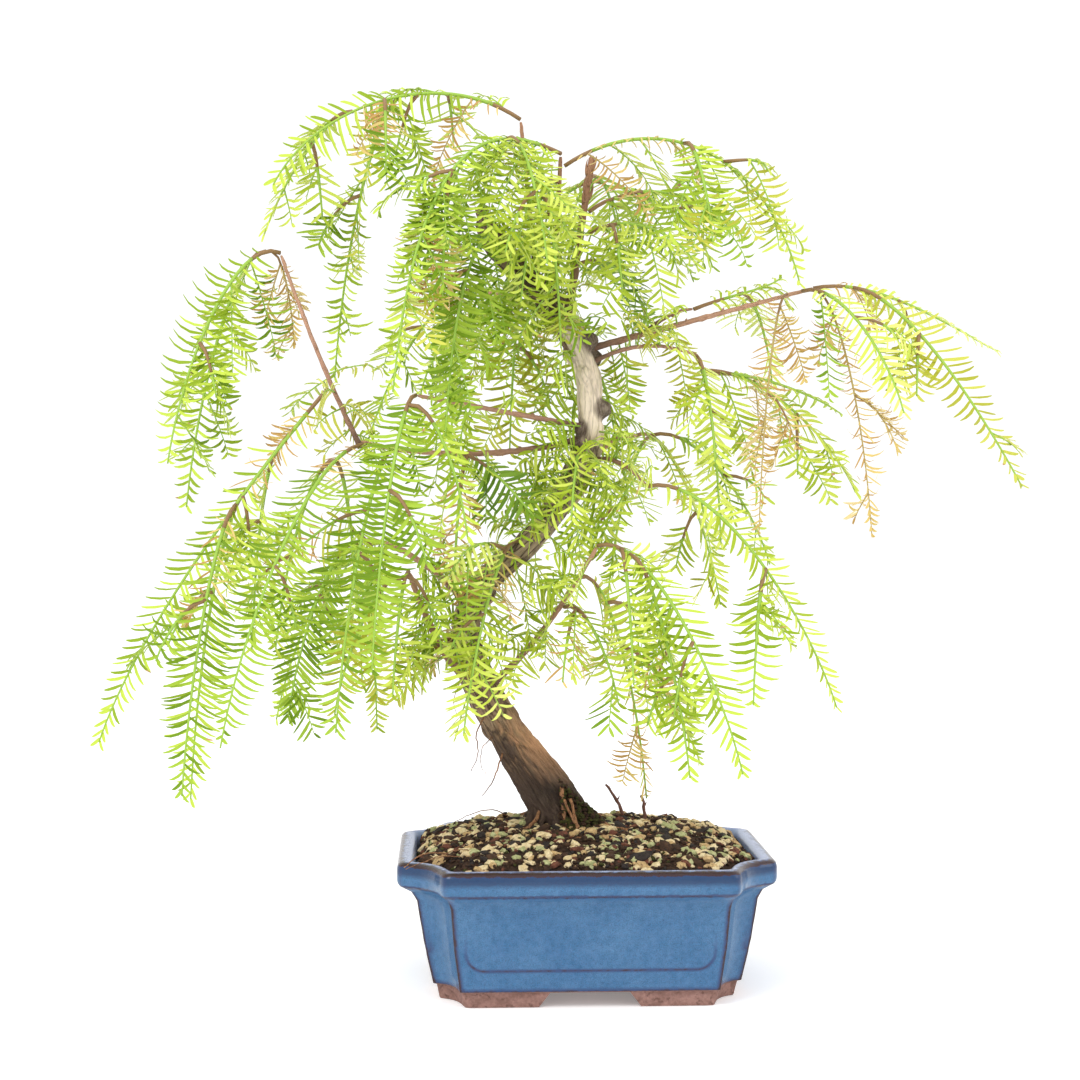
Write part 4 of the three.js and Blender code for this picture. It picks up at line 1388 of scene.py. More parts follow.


# Three plain shades to a tint: light, full and under. Light and full differ partly at random and partly as
# painted light: needles that point to the right take the light shade more often, and those that point to the
# left the full one. Under colours the undersides of the blades, paler and yellower: partly their own paler
# colour and partly painted light shining through them.
LEAVES: dict[Tint, tuple[Triple, Triple, Triple]] = {
    LIME: ((195, 209, 85), (155, 175, 43), (206, 216, 118)),
    LEAF: ((183, 204, 72), (134, 160, 30), (192, 209, 98)),
    DEEP: ((154, 182, 55), (108, 140, 20), (176, 197, 86)),
    TEAL: ((118, 150, 46), (88, 120, 28), (146, 174, 76)),
    PALE: ((216, 226, 116), (196, 212, 84), (222, 230, 144)),
    OLIVE: ((190, 192, 78), (164, 166, 48), (202, 204, 108)),
    STRAW: ((208, 184, 112), (182, 146, 84), (218, 198, 142)),
    RUST: ((184, 148, 92), (152, 112, 66), (198, 168, 116)),
}
SHADES = ("light", "full", "under")

# Old bark up the trunk. The stops at 0.3 and 0.41 are lighter than the bark's own colour there, painted light
# against the shade that the foliage casts on that part of the trunk.
OLD_BARK = Bark(
    "old_bark",
    stops=(
        (0.0, (62, 52, 46)), (0.07, (90, 72, 60)), (0.13, (152, 124, 94)), (0.3, (188, 164, 136)),
        (0.41, (182, 160, 136)), (0.47, (204, 182, 156)), (0.52, (244, 226, 204)), (0.605, (246, 228, 208)),
        (0.625, (138, 114, 94)), (0.8, (128, 104, 86)),
    ),
    streak=(62, 50, 42),
    smooth=(0.45, 0.5, 0.6, 0.63),
)
YOUNG_BARK = Bark(
    "limb_bark",
    stops=((0.0, (112, 88, 74)), (0.12, (164, 124, 104)), (0.5, (190, 146, 122)), (1.0, (200, 156, 124))),
    streak=(94, 70, 58),
    smooth=(-2.0, -1.0, 3.0, 4.0),
    span=130.0,
    coarse=0.35,
)
LEADER_BARK = Bark(
    "leader_bark",
    stops=((0.0, (124, 98, 80)), (0.5, (152, 114, 90)), (1.0, (170, 124, 94))),
    streak=(92, 68, 56),
    smooth=(-2.0, -1.0, 3.0, 4.0),
    span=80.0,
    coarse=0.4,
)
ROOT_BARK = Bark(
    "root_bark",
    stops=((0.0, (142, 96, 64)), (1.0, (174, 124, 86))),
    streak=(86, 56, 40),
    span=40.0,
    coarse=0.3,
)
SPROUT_BARK = Bark(
    "sprout_bark",
    stops=((0.0, (132, 92, 82)), (1.0, (150, 104, 92))),
    streak=(96, 64, 58),
    span=40.0,
    coarse=0.3,
)
GREEN_TWIG = Leaf("green_twig", (150, 184, 76))
BROWN_TWIG = Leaf("brown_twig", (142, 112, 78))
STRAW_TWIG = Leaf("straw_twig", (176, 156, 98))
BLUE_GLAZE = Glaze("blue_glaze")
BARE_CLAY = Dry("bare_clay", (158, 122, 112), (130, 98, 88), (92, 64, 56), 170.0, 0.0003)
EARTH = Dry("earth", (82, 58, 42), (54, 38, 29), (24, 17, 14), 340.0, 0.0012)
MOSS = Dry("moss", (84, 84, 36), (56, 54, 28), (26, 24, 16), 700.0, 0.0008)
STONES = (
    Dry("stone_cream", (240, 222, 182), (222, 198, 148), (150, 124, 92)),
    Dry("stone_tan", (216, 186, 136), (184, 150, 104), (110, 84, 60)),
    Dry("stone_sage", (196, 196, 146), (164, 166, 112), (104, 100, 72)),
    Dry("stone_umber", (84, 60, 44), (60, 42, 32), (30, 22, 18)),
    Dry("stone_russet", (124, 76, 58), (96, 58, 46), (56, 36, 30)),
    Dry("stone_slate", (62, 54, 50), (46, 40, 38), (24, 20, 20)),
)


def leaf_finishes() -> list[bpy.types.Material]:
    """Returns every needle colour, three to a tint, in the tints' order.

    Returns:
        The materials.
    """
    return [
        Leaf(f"needle_{tint.value}_{shade}", LEAVES[tint][order]).make()
        for tint in Tint
        for order, shade in enumerate(SHADES)
    ]


def show(piece: bpy.types.Object, slot: str, *nodes: str) -> bpy.types.Object:
    """Puts a finished piece on the body, names the solids that it stands for, and reports it.

    Args:
        piece: The finished piece.
        slot: The record's material slot; not used.
        *nodes: The solids it stands for.

    Returns:
        The piece.
    """
    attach(piece, "root")
    if nodes:
        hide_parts(*nodes)
    corners = sum(len(face.vertices) - 2 for face in piece.data.polygons)
    log.info("%s: %d triangles, stands for %s", piece.name, corners, ", ".join(nodes) or "no solid")
    return piece


# ---- Pot ----


@dataclass(frozen=True)
class Level:
    """One height of the pot: half width, half depth and the scoop out of each corner."""

    z: float
    half_width: float
    half_depth: float
    scoop_x: float
    scoop_y: float

    def towards(self, other: "Level", share: float) -> "Level":
        """Returns the level that is a share of the way to another."""
        return Level(*(a + (b - a) * share for a, b in zip(astuple(self), astuple(other))))


@dataclass
class Pot:
    """The rectangular pot with scooped corners, a rolled lip, faint panels and four feet."""

    outside: tuple[Level, ...] = (
        Level(0, 70, 59.5, 11.5, 19), Level(7, 71.3, 60.8, 11.5, 19), Level(7.8, 73, 62.5, 12.5, 19),
        Level(28, 77.6, 66, 14.5, 20.5), Level(47, 80.6, 68.2, 16, 22.5), Level(51, 83.5, 70.4, 17.5, 24.5),
        Level(53.6, 88.7, 74, 20, 27), Level(54.8, 89.7, 74.8, 20.7, 28), Level(56.5, 90, 75, 20.7, 28),
        Level(61.6, 90, 75, 20.7, 28), Level(63.4, 89.5, 74.5, 20.7, 28), Level(64.5, 88.3, 73.3, 20.3, 27.5),
        Level(65, 86.2, 71.3, 19.6, 26.8),
    )
    inside: tuple[Level, ...] = (
        Level(64.9, 84, 69.3, 18.3, 25.4), Level(64.1, 82.6, 68, 17.6, 24.6), Level(62.5, 81.5, 67, 17, 24),
        Level(57, 81, 66.5, 17, 24), Level(46, 75, 62.5, 13.5, 20), Level(13, 66.5, 56.5, 12, 17),
    )
    row_height: float = 2.2
    long_steps: int = 56
    short_steps: int = 34
    scoop_steps: int = 12
    crowding: float = 0.06
    rounding_passes: int = 5
    rounding: tuple[tuple[float, ...], tuple[float, ...]] = ((0, 8, 47, 54), (0.8, 0.2, 0.2, 1.0))
    foot_height: float = 7.0
    foot_slope: float = 6.0
    front_gap: float = 18.5
    side_gap: float = 13.0
    gap_reach: float = 120.0
    recess: tuple[float, float, float, float] = (61.0, 50.0, 13.0, 17.0)
    bevel: float = 0.9
    bevel_angle: float = 38.0
    smooth_angle: float = 42.0
    glaze_line: float = 7.6
    under_line: float = 12.0
    wall: tuple[float, float] = (9.0, 47.0)
    wall_middle: tuple[float, float] = (77.0, 65.0)
    panel: tuple[float, float, float, float] = (58.0, 46.0, 17.5, 43.0)
    panel_corner: float = 9.0
    panel_slope: float = 1.6
    panel_sunk: float = 0.45
    panel_noted: float = 8.0
    edge_flat: float = 0.5
    edge_fade: float = 1.9
    lip_half: float = 1.2
    lip_top: float = 64.6

    def outline(self, level: Level) -> np.ndarray:
        """Returns the plan at a level, anticlockwise from the right end of the front scoop.

        Args:
            level: The level.

        Returns:
            The points of the plan, in millimetres.
        """
        points = []
        for sign_x, sign_y in ((1, -1), (1, 1), (-1, 1), (-1, -1)):
            turns = np.linspace(0, math.pi / 2, self.scoop_steps + 1)
            to_short = sign_x * sign_y < 0
            turns = turns if to_short else turns[::-1]
            arc = np.stack([
                sign_x * (level.half_width - level.scoop_x * np.cos(turns)),
                sign_y * (level.half_depth - level.scoop_y * np.sin(turns)),
            ], axis=1)
            after = arc[-1] * (np.array([1, -1]) if to_short else np.array([-1, 1]))
            share = np.linspace(0, 1, (self.short_steps if to_short else self.long_steps) + 1)[1:-1]
            share = share - self.crowding * np.sin(2 * math.pi * share)
            points += [arc, arc[-1] + (after - arc[-1]) * share[:, None]]
        plan = np.concatenate(points)
        rounded = plan
        for _ in range(self.rounding_passes):
            rounded = (np.roll(rounded, 1, axis=0) + 2 * rounded + np.roll(rounded, -1, axis=0)) / 4
        share = np.interp(level.z, *self.rounding)
        plan = plan * (1 - share) + rounded * share
        return np.column_stack([plan, np.full(len(plan), level.z)])

    def rows(self, levels: Sequence[Level]) -> list[Level]:
        """Returns the levels with rows added where two lie far apart.

        Args:
            levels: The levels from the bottom up.

        Returns:
            The levels and the rows between them.
        """
        found = [levels[0]]
        for low, high in zip(levels, levels[1:]):
            steps = max(1, round(abs(high.z - low.z) / self.row_height))
            found += [low.towards(high, step / steps) for step in range(1, steps + 1)]
        return found

    def foot_cutter(self, half_width: float, turned: bool) -> bpy.types.Object:
        """Models the prism that is cut out between two feet.

        Args:
            half_width: Half its width at the top.
            turned: Whether it runs from left to right, not from front to back.

        Returns:
            The prism.
        """
        corners = []
        for z, half in ((-1, half_width + self.foot_slope), (self.foot_height, half_width)):
            signs = ((-1, -1), (1, -1), (1, 1), (-1, 1))
            ring = np.array([(half * right, self.gap_reach * back, z) for right, back in signs])
            corners.append(ring[:, [1, 0, 2]] if turned else ring)
        return loft("foot_gap", corners)

    def cut(self, pot: bpy.types.Object, cutter: bpy.types.Object) -> None:
        """Cuts one form out of the pot and removes it."""
        apply_modifier(pot, "BOOLEAN", object=cutter, operation="DIFFERENCE", solver="EXACT")
        bpy.data.objects.remove(cutter)

    def build(self) -> bpy.types.Object:
        """Models the pot and dresses it.

        Returns:
            The pot.
        """
        rows = self.rows(self.outside) + self.rows(self.inside)
        pot = loft("glazed_pot", [self.outline(level) for level in rows])
        recess = [self.outline(Level(z, *self.recess)) for z in (-1, self.foot_height)]
        self.cut(pot, loft("under_recess", recess))
        self.cut(pot, self.foot_cutter(self.front_gap, False))
        self.cut(pot, self.foot_cutter(self.side_gap, True))
        limit = {"limit_method": "ANGLE", "angle_limit": math.radians(self.bevel_angle)}
        apply_modifier(pot, "BEVEL", width=self.bevel * MM, segments=2, **limit)
        self.press_panels(pot)
        self.note_glaze(pot)
        self.dress(pot)
        return show(pot, "glaze", "pot")

    def panel_depth(self, points: np.ndarray) -> np.ndarray:
        """Returns how far inside the line of its panel each point of a wall lies, in millimetres.

        Args:
            points: The points.

        Returns:
            The distances, below 0 outside the panel.
        """
        half_long, half_short, low, high = self.panel
        x, y = np.abs(points[:, 0]), np.abs(points[:, 1])
        wide, deep = self.wall_middle
        walls = y / deep > x / wide
        over_x = np.where(walls, x, y) - (np.where(walls, half_long, half_short) - self.panel_corner)
        over_z = np.abs(points[:, 2] - (low + high) / 2) - ((high - low) / 2 - self.panel_corner)
        outside = np.hypot(np.maximum(over_x, 0), np.maximum(over_z, 0))
        return self.panel_corner - outside - np.minimum(np.maximum(over_x, over_z), 0)

    def press_panels(self, pot: bpy.types.Object) -> None:
        """Presses a shallow panel with round corners into each of the four walls.

        Args:
            pot: The pot.
        """
        points, facing = positions(pot), normals(pot)
        low, high = self.wall
        outer = (points[:, 2] > low) & (points[:, 2] < high) & (np.abs(facing[:, 2]) < 0.4)
        outer &= (facing * points)[:, :2].sum(axis=1) > 0
        depth = np.clip(self.panel_depth(points) / self.panel_slope, 0, 1) * self.panel_sunk
        points[:, :2] -= np.where(outer, depth, 0)[:, None] * unit(facing[:, :2])
        move_to(pot, points)

    def note_glaze(self, pot: bpy.types.Object) -> None:
        """Notes where the glaze is thin or pooled, for its finish to read.

        Args:
            pot: The pot.
        """
        points, facing = positions(pot), normals(pot)
        x, y, z = points.T
        x, y = np.abs(x), np.abs(y)
        levels = np.array([astuple(level) for level in self.outside]).T
        wide, deep, scoop_x, scoop_y = (np.interp(z, levels[0], sizes) for sizes in levels[1:])
        outer = (x > wide - 24) | (y > deep - 3)
        to_long = np.hypot(x - (wide - scoop_x), y - deep)
        to_short = np.hypot(x - wide, y - (deep - scoop_y))
        away = np.minimum(to_long, to_short) - self.edge_flat
        upright = np.clip(1 - away / self.edge_fade, 0, 1) * outer
        foot = np.clip(1 - (z - self.glaze_line) / 2.0, 0, 1) * 0.8
        inward = (z > self.wall[1] + 3) & ~((x > wide - self.lip_half) | (y > deep - self.lip_half))
        inner_face = inward & ((facing * points)[:, :2].sum(axis=1) < 0)
        outer &= ~inner_face
        panel = np.clip(self.panel_depth(points), -self.panel_noted, self.panel_noted)
        lip = (z > self.lip_top) & (facing[:, 2] > 0.6)
        note(pot, "edge", np.maximum(upright, foot))
        note(pot, "outer", outer.astype(float))
        note(pot, "panel", np.where(outer, panel, self.panel_noted))
        note(pot, "pooled", np.where(lip, 0.85, np.where(inner_face, 0.75, 0.0)))

    def dress(self, pot: bpy.types.Object) -> None:
        """Glazes the pot, leaves its feet bare and shades its edges crisply.

        Args:
            pot: The pot.
        """
        finish(pot, BLUE_GLAZE, BARE_CLAY)
        for face in pot.data.polygons:
            z = PLACE.back(np.array(face.center))[2]
            face.material_index = int(z < self.glaze_line or (z < self.under_line and face.normal.z < -0.8))
        activate(pot)
        bpy.ops.object.shade_smooth_by_angle(angle=math.radians(self.smooth_angle))
        apply_modifier(pot, "WEIGHTED_NORMAL")


# ---- Soil ----


@dataclass(frozen=True)
class Lump:
    """One rough lump: its middle, the axis it lies across, its half sizes and its turn in radians."""

    middle: np.ndarray
    axis: np.ndarray
    half: Triple
    turn: float


@dataclass(frozen=True)
class Litter:
    """Loose stuff that is strewn on the soil.

    It has how much of it there is, how far it keeps from the pot and from the trunk's middle, its
    smallest half size, how much more it may have and the power that favours small ones, the range of its
    length, width and height for that half size, the share of its height that is sunk in the soil, the
    faces of each lump, the colours, how common each is, and how far the lumps are from round.
    """

    name: str
    count: int
    margin: float
    clear: float
    half: tuple[float, float, float]
    shape: tuple[tuple[float, float], tuple[float, float], tuple[float, float]]
    sink: float
    faces: int
    finishes: tuple[Finish, ...]
    weights: tuple[float, ...]
    rough: float = 0.4


GRIT = Litter(
    "fine_grit", 1650, 3.2, 15, (0.9, 2.0, 1.7), ((1.0, 1.7), (1.0, 1.0), (0.4, 0.75)),
    0.3, 20, STONES, (11, 7, 5, 4, 2, 3), 0.45,
)
CRUMBS = Litter(
    "soil_crumbs", 3600, 1.6, 0, (0.4, 0.9, 1.0), ((1.3, 1.3), (1.0, 1.0), (0.8, 0.8)),
    0.15, 20, (EARTH, *STONES[3:], MOSS), (8, 4, 2, 2, 1),
)
CHIPS = Litter(
    "bark_chips", 46, 9, 18, (2.6, 3.4, 1.0), ((1.0, 1.0), (0.3, 0.5), (0.22, 0.22)),
    0.1, 80, (STONES[5], STONES[3], EARTH), (5, 3, 2),
)

# Bare roots over the mound and dry root hairs: four places along each, and its radius.
ROOTS = (
    ((-10, -3, 94), (-8.6, -9, 84), (-8, -13, 77), (-5, -22, 71), 1.1),
    ((-6, -4, 88), (-3, -11, 80), (-7, -20, 76), (1, -29, 73), 0.8),
    ((-9, -6, 88), (-1, -11, 81), (2, -16, 76), (-1, -26, 74), 0.7),
    ((-20, 2, 82), (-27, -6, 77), (-36, -12, 74), (-47, -22, 71), 1.0),
    ((4, 4, 80), (14, -6, 77), (23, -14, 74), (34, -26, 71), 1.2),
    ((2, 22, 80), (12, 32, 77), (22, 36, 75), (36, 44, 70), 1.0),
    ((-20, 22, 81), (-32, 30, 77), (-42, 34, 74), (-56, 40, 69), 0.9),
    ((-3, -3, 83), (1, -6, 78), (-2, -12, 76), (4, -18, 75), 0.45),
)
HAIRS = (
    ((-66, -44, 68.5), (-73, -54, 71), (-80, -62, 70.5), (-86, -68, 66.5), 0.45),
    ((-60, -48, 68), (-70, -57, 69.5), (-79, -65, 68), (-85, -69, 66.3), 0.3),
    ((-55, -42, 69.5), (-62, -50, 71.5), (-70, -52, 69), (-77, -54, 66.5), 0.3),
    ((-34, 26, 74), (-44, 22, 79), (-54, 26, 76), (-62, 30, 72), 0.35),
    ((20, -38, 69), (30, -44, 70), (40, -42, 68.5), (52, -48, 66.5), 0.4),
    ((44, 20, 70), (54, 12, 70.5), (62, 16, 67.5), (70, 8, 65.5), 0.35),
)


@dataclass
class Ground:
    """The mound of soil with its gravel, crumbs, bark chips, moss and bare roots."""

    half_width: float = 81.0
    half_depth: float = 66.5
    scoop: tuple[float, float] = (17.0, 24.0)
    voxel: float = 1.5
    rough_from: float = 56.0
    lumpiness: float = 0.9
    gravel_weights: tuple[int, ...] = (8, 5, 4, 1, 1, 1)
    shard: tuple[float, float] = (23.5, -55.0)
    shard_half: Triple = (7.0, 3.2, 1.3)
    moss_count: int = 1300
    moss_top: float = 97.0
    moss_box: tuple[tuple[float, float], tuple[float, float]] = ((-11, 13), (-10, 7))
    random: SeededNumbers = field(default_factory=lambda: SeededNumbers(77))
    surface: BVHTree | None = None
    solid: BVHTree | None = None

    def build(self) -> None:
        """Models the bed of soil and all that lies on it."""
        self.bed()
        show(self.lay("gravel", list(self.main_stones()), 80, STONES, self.gravel_weights), "soil")
        self.strew(GRIT)
        self.strew(CRUMBS)
        shard, normal = self.height(*self.shard)
        self.strew(CHIPS, [Lump(shard + normal, normal, self.shard_half, 0.1)])
        self.moss()
        self.roots()
        self.hairs()

    def inside(self, x: float, y: float, margin: float) -> bool:
        """Says whether a place on the plan is on the soil, a margin in from the pot.

        Args:
            x: To the right.
            y: To the back.
            margin: In millimetres.

        Returns:
            True on the soil.
        """
        from_side, from_front = self.half_width - margin - abs(x), self.half_depth - margin - abs(y)
        if min(from_side, from_front) <= 0:
            return False
        return math.hypot(from_side / self.scoop[0], from_front / self.scoop[1]) > 1

    def height(self, x: float, y: float, solid: bool = False) -> tuple[np.ndarray, np.ndarray] | None:
        """Looks down on the soil.

        Args:
            x: The place to the right.
            y: The place to the back.
            solid: Whether the soil's solid is meant, not the bed that is modelled on it.

        Returns:
            The point and the normal there, or None off the soil.
        """
        start = Vector(PLACE.out(np.array([x, y, 200.0])))
        surface = self.solid if solid else self.surface
        point, normal, _, _ = surface.ray_cast(start, Vector((0, 0, -1)))
        return (PLACE.back(np.array(point)), np.array(normal)) if point else None

    def spots(self, count: int, margin: float) -> Iterator[tuple[np.ndarray, np.ndarray]]:
        """Yields places spread over the soil by chance, each with its normal.

        Args:
            count: How many.
            margin: How far they keep from the pot, in millimetres.
        """
        found = 0
        while found < count:
            x = self.random.between(-self.half_width, self.half_width)
            y = self.random.between(-self.half_depth, self.half_depth)
            spot = self.height(x, y) if self.inside(x, y, margin) else None
            if spot:
                found += 1
                yield spot

    def bed(self) -> bpy.types.Object:
        """Rounds and roughens a copy of the soil's solid.

        Returns:
            The copy.
        """
        node = next(o for o in bpy.data.objects if o.get("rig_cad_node") == "soil")
        deselect()
        bed = bpy.data.objects.new("soil_bed", node.data.copy())
        bpy.context.scene.collection.objects.link(bed)
        with edited(bed):
            bpy.ops.mesh.remove_doubles(threshold=0.05 * MM)
        self.solid = self.tree_of(bed)
        apply_modifier(bed, "REMESH", mode="VOXEL", voxel_size=self.voxel * MM)
        apply_modifier(bed, "SMOOTH", factor=0.7, iterations=10)
        points, facing = positions(bed), normals(bed)
        top = np.clip((points[:, 2] - self.rough_from) / 4, 0, 1) * np.clip(facing[:, 2] * 2, 0, 1)
        lumps = np.array([
            noise.fractal(Vector(p) * 0.16, 0.8, 2.2, 4) + 0.5 * noise.noise(Vector(p) * 0.7) for p in points
        ])
        points[:, 2] += top * lumps * self.lumpiness
        move_to(bed, points)
        finish(bed, EARTH)
        self.surface = self.tree_of(bed)
        return show(bed, "soil", "soil")

    def tree_of(self, piece: bpy.types.Object) -> BVHTree:
        """Returns a piece's faces in a tree that rays can be cast on.

        Args:
            piece: The piece.

        Returns:
            The tree.
        """
        mesh = bmesh.new()
        mesh.from_mesh(piece.data)
        tree = BVHTree.FromBMesh(mesh)
        mesh.free()
        return tree

    def pebble(self, faces: int) -> tuple[np.ndarray, np.ndarray]:
        """Returns the points and triangles of a rough ball, 20 or 80 faces.

        Args:
            faces: How many faces it has.

        Returns:
            The points and the triangles.
        """
        mesh = bmesh.new()
        bmesh.ops.create_icosphere(mesh, subdivisions=1 if faces == 20 else 2, radius=1)
        points = np.array([v.co for v in mesh.verts])
        triangles = np.array([[v.index for v in face.verts] for face in mesh.faces])
        mesh.free()
        return points, triangles

    def main_stones(self) -> Iterator[Lump]:
        """Yields the main stones where the solids have them, by the source's rule."""
        low, high = STONE_HALF_SIZES
        for order in range(1, STONES_TRIED + 1):
            share = order * STONE_SPREAD % 1
            x, y = self.half_width * (2 * share[0] - 1), self.half_depth * (2 * share[1] - 1)
            half = low + (high - low) * share[2]
            near_sprout = min(math.dist((x, y), sprout.foot) for sprout in SPROUTS.values()) < STONE_TO_SPROUT
            near_trunk = math.dist((x, y), TRUNK[0, :2]) < STONE_TO_TRUNK
            if self.inside(x, y, STONE_TO_POT + half) and not near_sprout and not near_trunk:
                top, _ = self.height(x, y, solid=True)
                middle = top - UP * half * STONE_HEIGHT * STONE_CROWN
                yield Lump(middle, UP, (half * STONE_LENGTH, half, half * STONE_HEIGHT), float(order))

    def lumps(self, litter: Litter) -> Iterator[Lump]:
        """Yields the lumps of some litter where they fall.

        Args:
            litter: The litter.
        """
        x, y = TRUNK[0, :2]
        smallest, more, power = litter.half
        spots = [
            spot for spot in self.spots(litter.count, litter.margin)
            if math.hypot(spot[0][0] - x, spot[0][1] - y) > litter.clear
        ]
        for spot, normal in spots:
            half = smallest + more * self.random() ** power
            sizes = tuple(
                half * (low if low == high else self.random.between(low, high)) for low, high in litter.shape
            )
            turn = self.random() * 2 * math.pi
            lean = np.array([self.random() - 0.5, self.random() - 0.5, 0]) * 0.7
            yield Lump(spot + normal * sizes[2] * (1 - 2 * litter.sink), unit(normal + lean), sizes, turn)

    def strew(self, litter: Litter, more: Sequence[Lump] = ()) -> bpy.types.Object:
        """Strews litter over the soil, with more lumps that have a place of their own.

        Args:
            litter: The litter.
            more: Further lumps.

        Returns:
            The joined lumps.
        """
        lumps = [*self.lumps(litter), *more]
        piece = self.lay(litter.name, lumps, litter.faces, litter.finishes, litter.weights, litter.rough)
        return show(piece, "soil")

    def lay(
        self, name: str, lumps: Sequence[Lump], faces: int, finishes: Sequence[Finish],
        weights: Sequence[float], rough: float = 0.4,
    ) -> bpy.types.Object:
        """Makes rough lumps in one mesh.

        Args:
            name: The piece's name.
            lumps: Where each lies, and how big it is.
            faces: Faces of each lump, 20 or 80.
            finishes: The colours that they take.
            weights: How common each colour is.
            rough: How far the lumps are from round.

        Returns:
            The joined piece.
        """
        ball, triangles = self.pebble(faces)
        points, blocks, kinds = [], [], []
        bounds = np.cumsum(weights) / sum(weights)
        for order, lump in enumerate(lumps):
            shifted = Vector((order * 1.7, 0, 0))
            warp = 1 + rough * np.array([noise.noise(Vector(p * 1.3) + shifted) for p in ball])
            seed = np.array([math.cos(lump.turn), math.sin(lump.turn), 0.01])
            first = unit(seed - lump.axis * np.dot(seed, lump.axis))
            x, y, z = (ball * warp[:, None] * np.array(lump.half)).T[:, :, None]
            points.append(lump.middle + x * first + y * np.cross(lump.axis, first) + z * lump.axis)
            blocks.append(triangles + order * len(ball))
            kind = int(np.searchsorted(bounds, self.random()))
            kinds.append(np.full(len(triangles), min(kind, len(finishes) - 1)))
        return from_arrays(
            name, np.concatenate(points), [np.concatenate(blocks)], [f.make() for f in finishes],
            np.concatenate(kinds), smooth=faces > 20,
        )

    def moss(self) -> bpy.types.Object:
        """Heaps a dark mossy clod on the right of the trunk's foot, highest where it leans on the bark.

        Returns:
            The clod.
        """
        lumps = []
        (left, right), (front, back) = self.moss_box
        for _ in range(self.moss_count):
            x, y = self.random.between(left, right), self.random.between(front, back)
            soil = self.height(x, y)[0][2]
            top = self.moss_top - (x - left) * 0.95 - max(0.0, -3 - y) * 3.4 - max(0.0, y - 3) * 0.9
            half = 0.5 + 0.9 * self.random()
            place = np.array([x, y, soil + max(0.0, top - soil) * self.random() ** 0.5])
            lumps.append(Lump(place, UP, (half * 1.3, half * 0.9, half * 0.8), self.random() * 6))
        return show(self.lay("moss_clod", lumps, 20, (MOSS, EARTH, STONES[3]), (6, 5, 2)), "soil")

    def roots(self) -> bpy.types.Object:
        """Lays the bare tan roots over the mound in front of the trunk.

        Returns:
            The joined roots.
        """
        strands = Strands(sides=7)
        for order, (*stations, radius) in enumerate(ROOTS):
            line = wavering(points_through(stations, 22), 0.9, order * 3.1)
            self.rest_on_soil(line, radius)
            taper = radius * np.linspace(1.0, 0.45, len(line))
            strands.add(line, taper * (1 + 0.12 * np.sin(np.arange(len(line)) * 1.9 + order)))
        piece = strands.build("surface_roots", [ROOT_BARK.make()])
        note(piece, "straight", positions(piece) * 0.9)
        return show(piece, "bark")

    def rest_on_soil(self, line: np.ndarray, radius: float) -> None:
        """Lifts or drops the outer part of a line so that it lies half sunk in the soil.

        Args:
            line: The points, which are moved.
            radius: How thick it is, in millimetres.
        """
        for row in range(len(line)):
            spot = self.height(line[row, 0], line[row, 1])
            if spot:
                resting = spot[0][2] + radius * 0.35
                share = min(1.0, row / (len(line) * 0.35))
                line[row, 2] = max(resting, line[row, 2] * (1 - share) + resting * share)

    def hairs(self) -> bpy.types.Object:
        """Lays the dry root hairs that stray over the left rim, and scraps about the trunk's foot.

        Returns:
            The joined hairs.
        """
        strands = Strands(sides=5)
        for order, (*stations, radius) in enumerate(HAIRS):
            line = wavering(points_through(stations, 16), 0.7, 40 + order * 2.3)
            strands.add(line, radius * np.linspace(1.0, 0.5, len(line)))
        piece = strands.build("root_hairs", [ROOT_BARK.make()])
        note(piece, "straight", positions(piece))
        return show(piece, "bark")


# ---- Wood ----


@dataclass(frozen=True)
class Knot:
    """A swelling on the trunk: the height and bearing it looks to, its reach and its size."""

    height: float
    bearing: float
    swell: float
    size: float


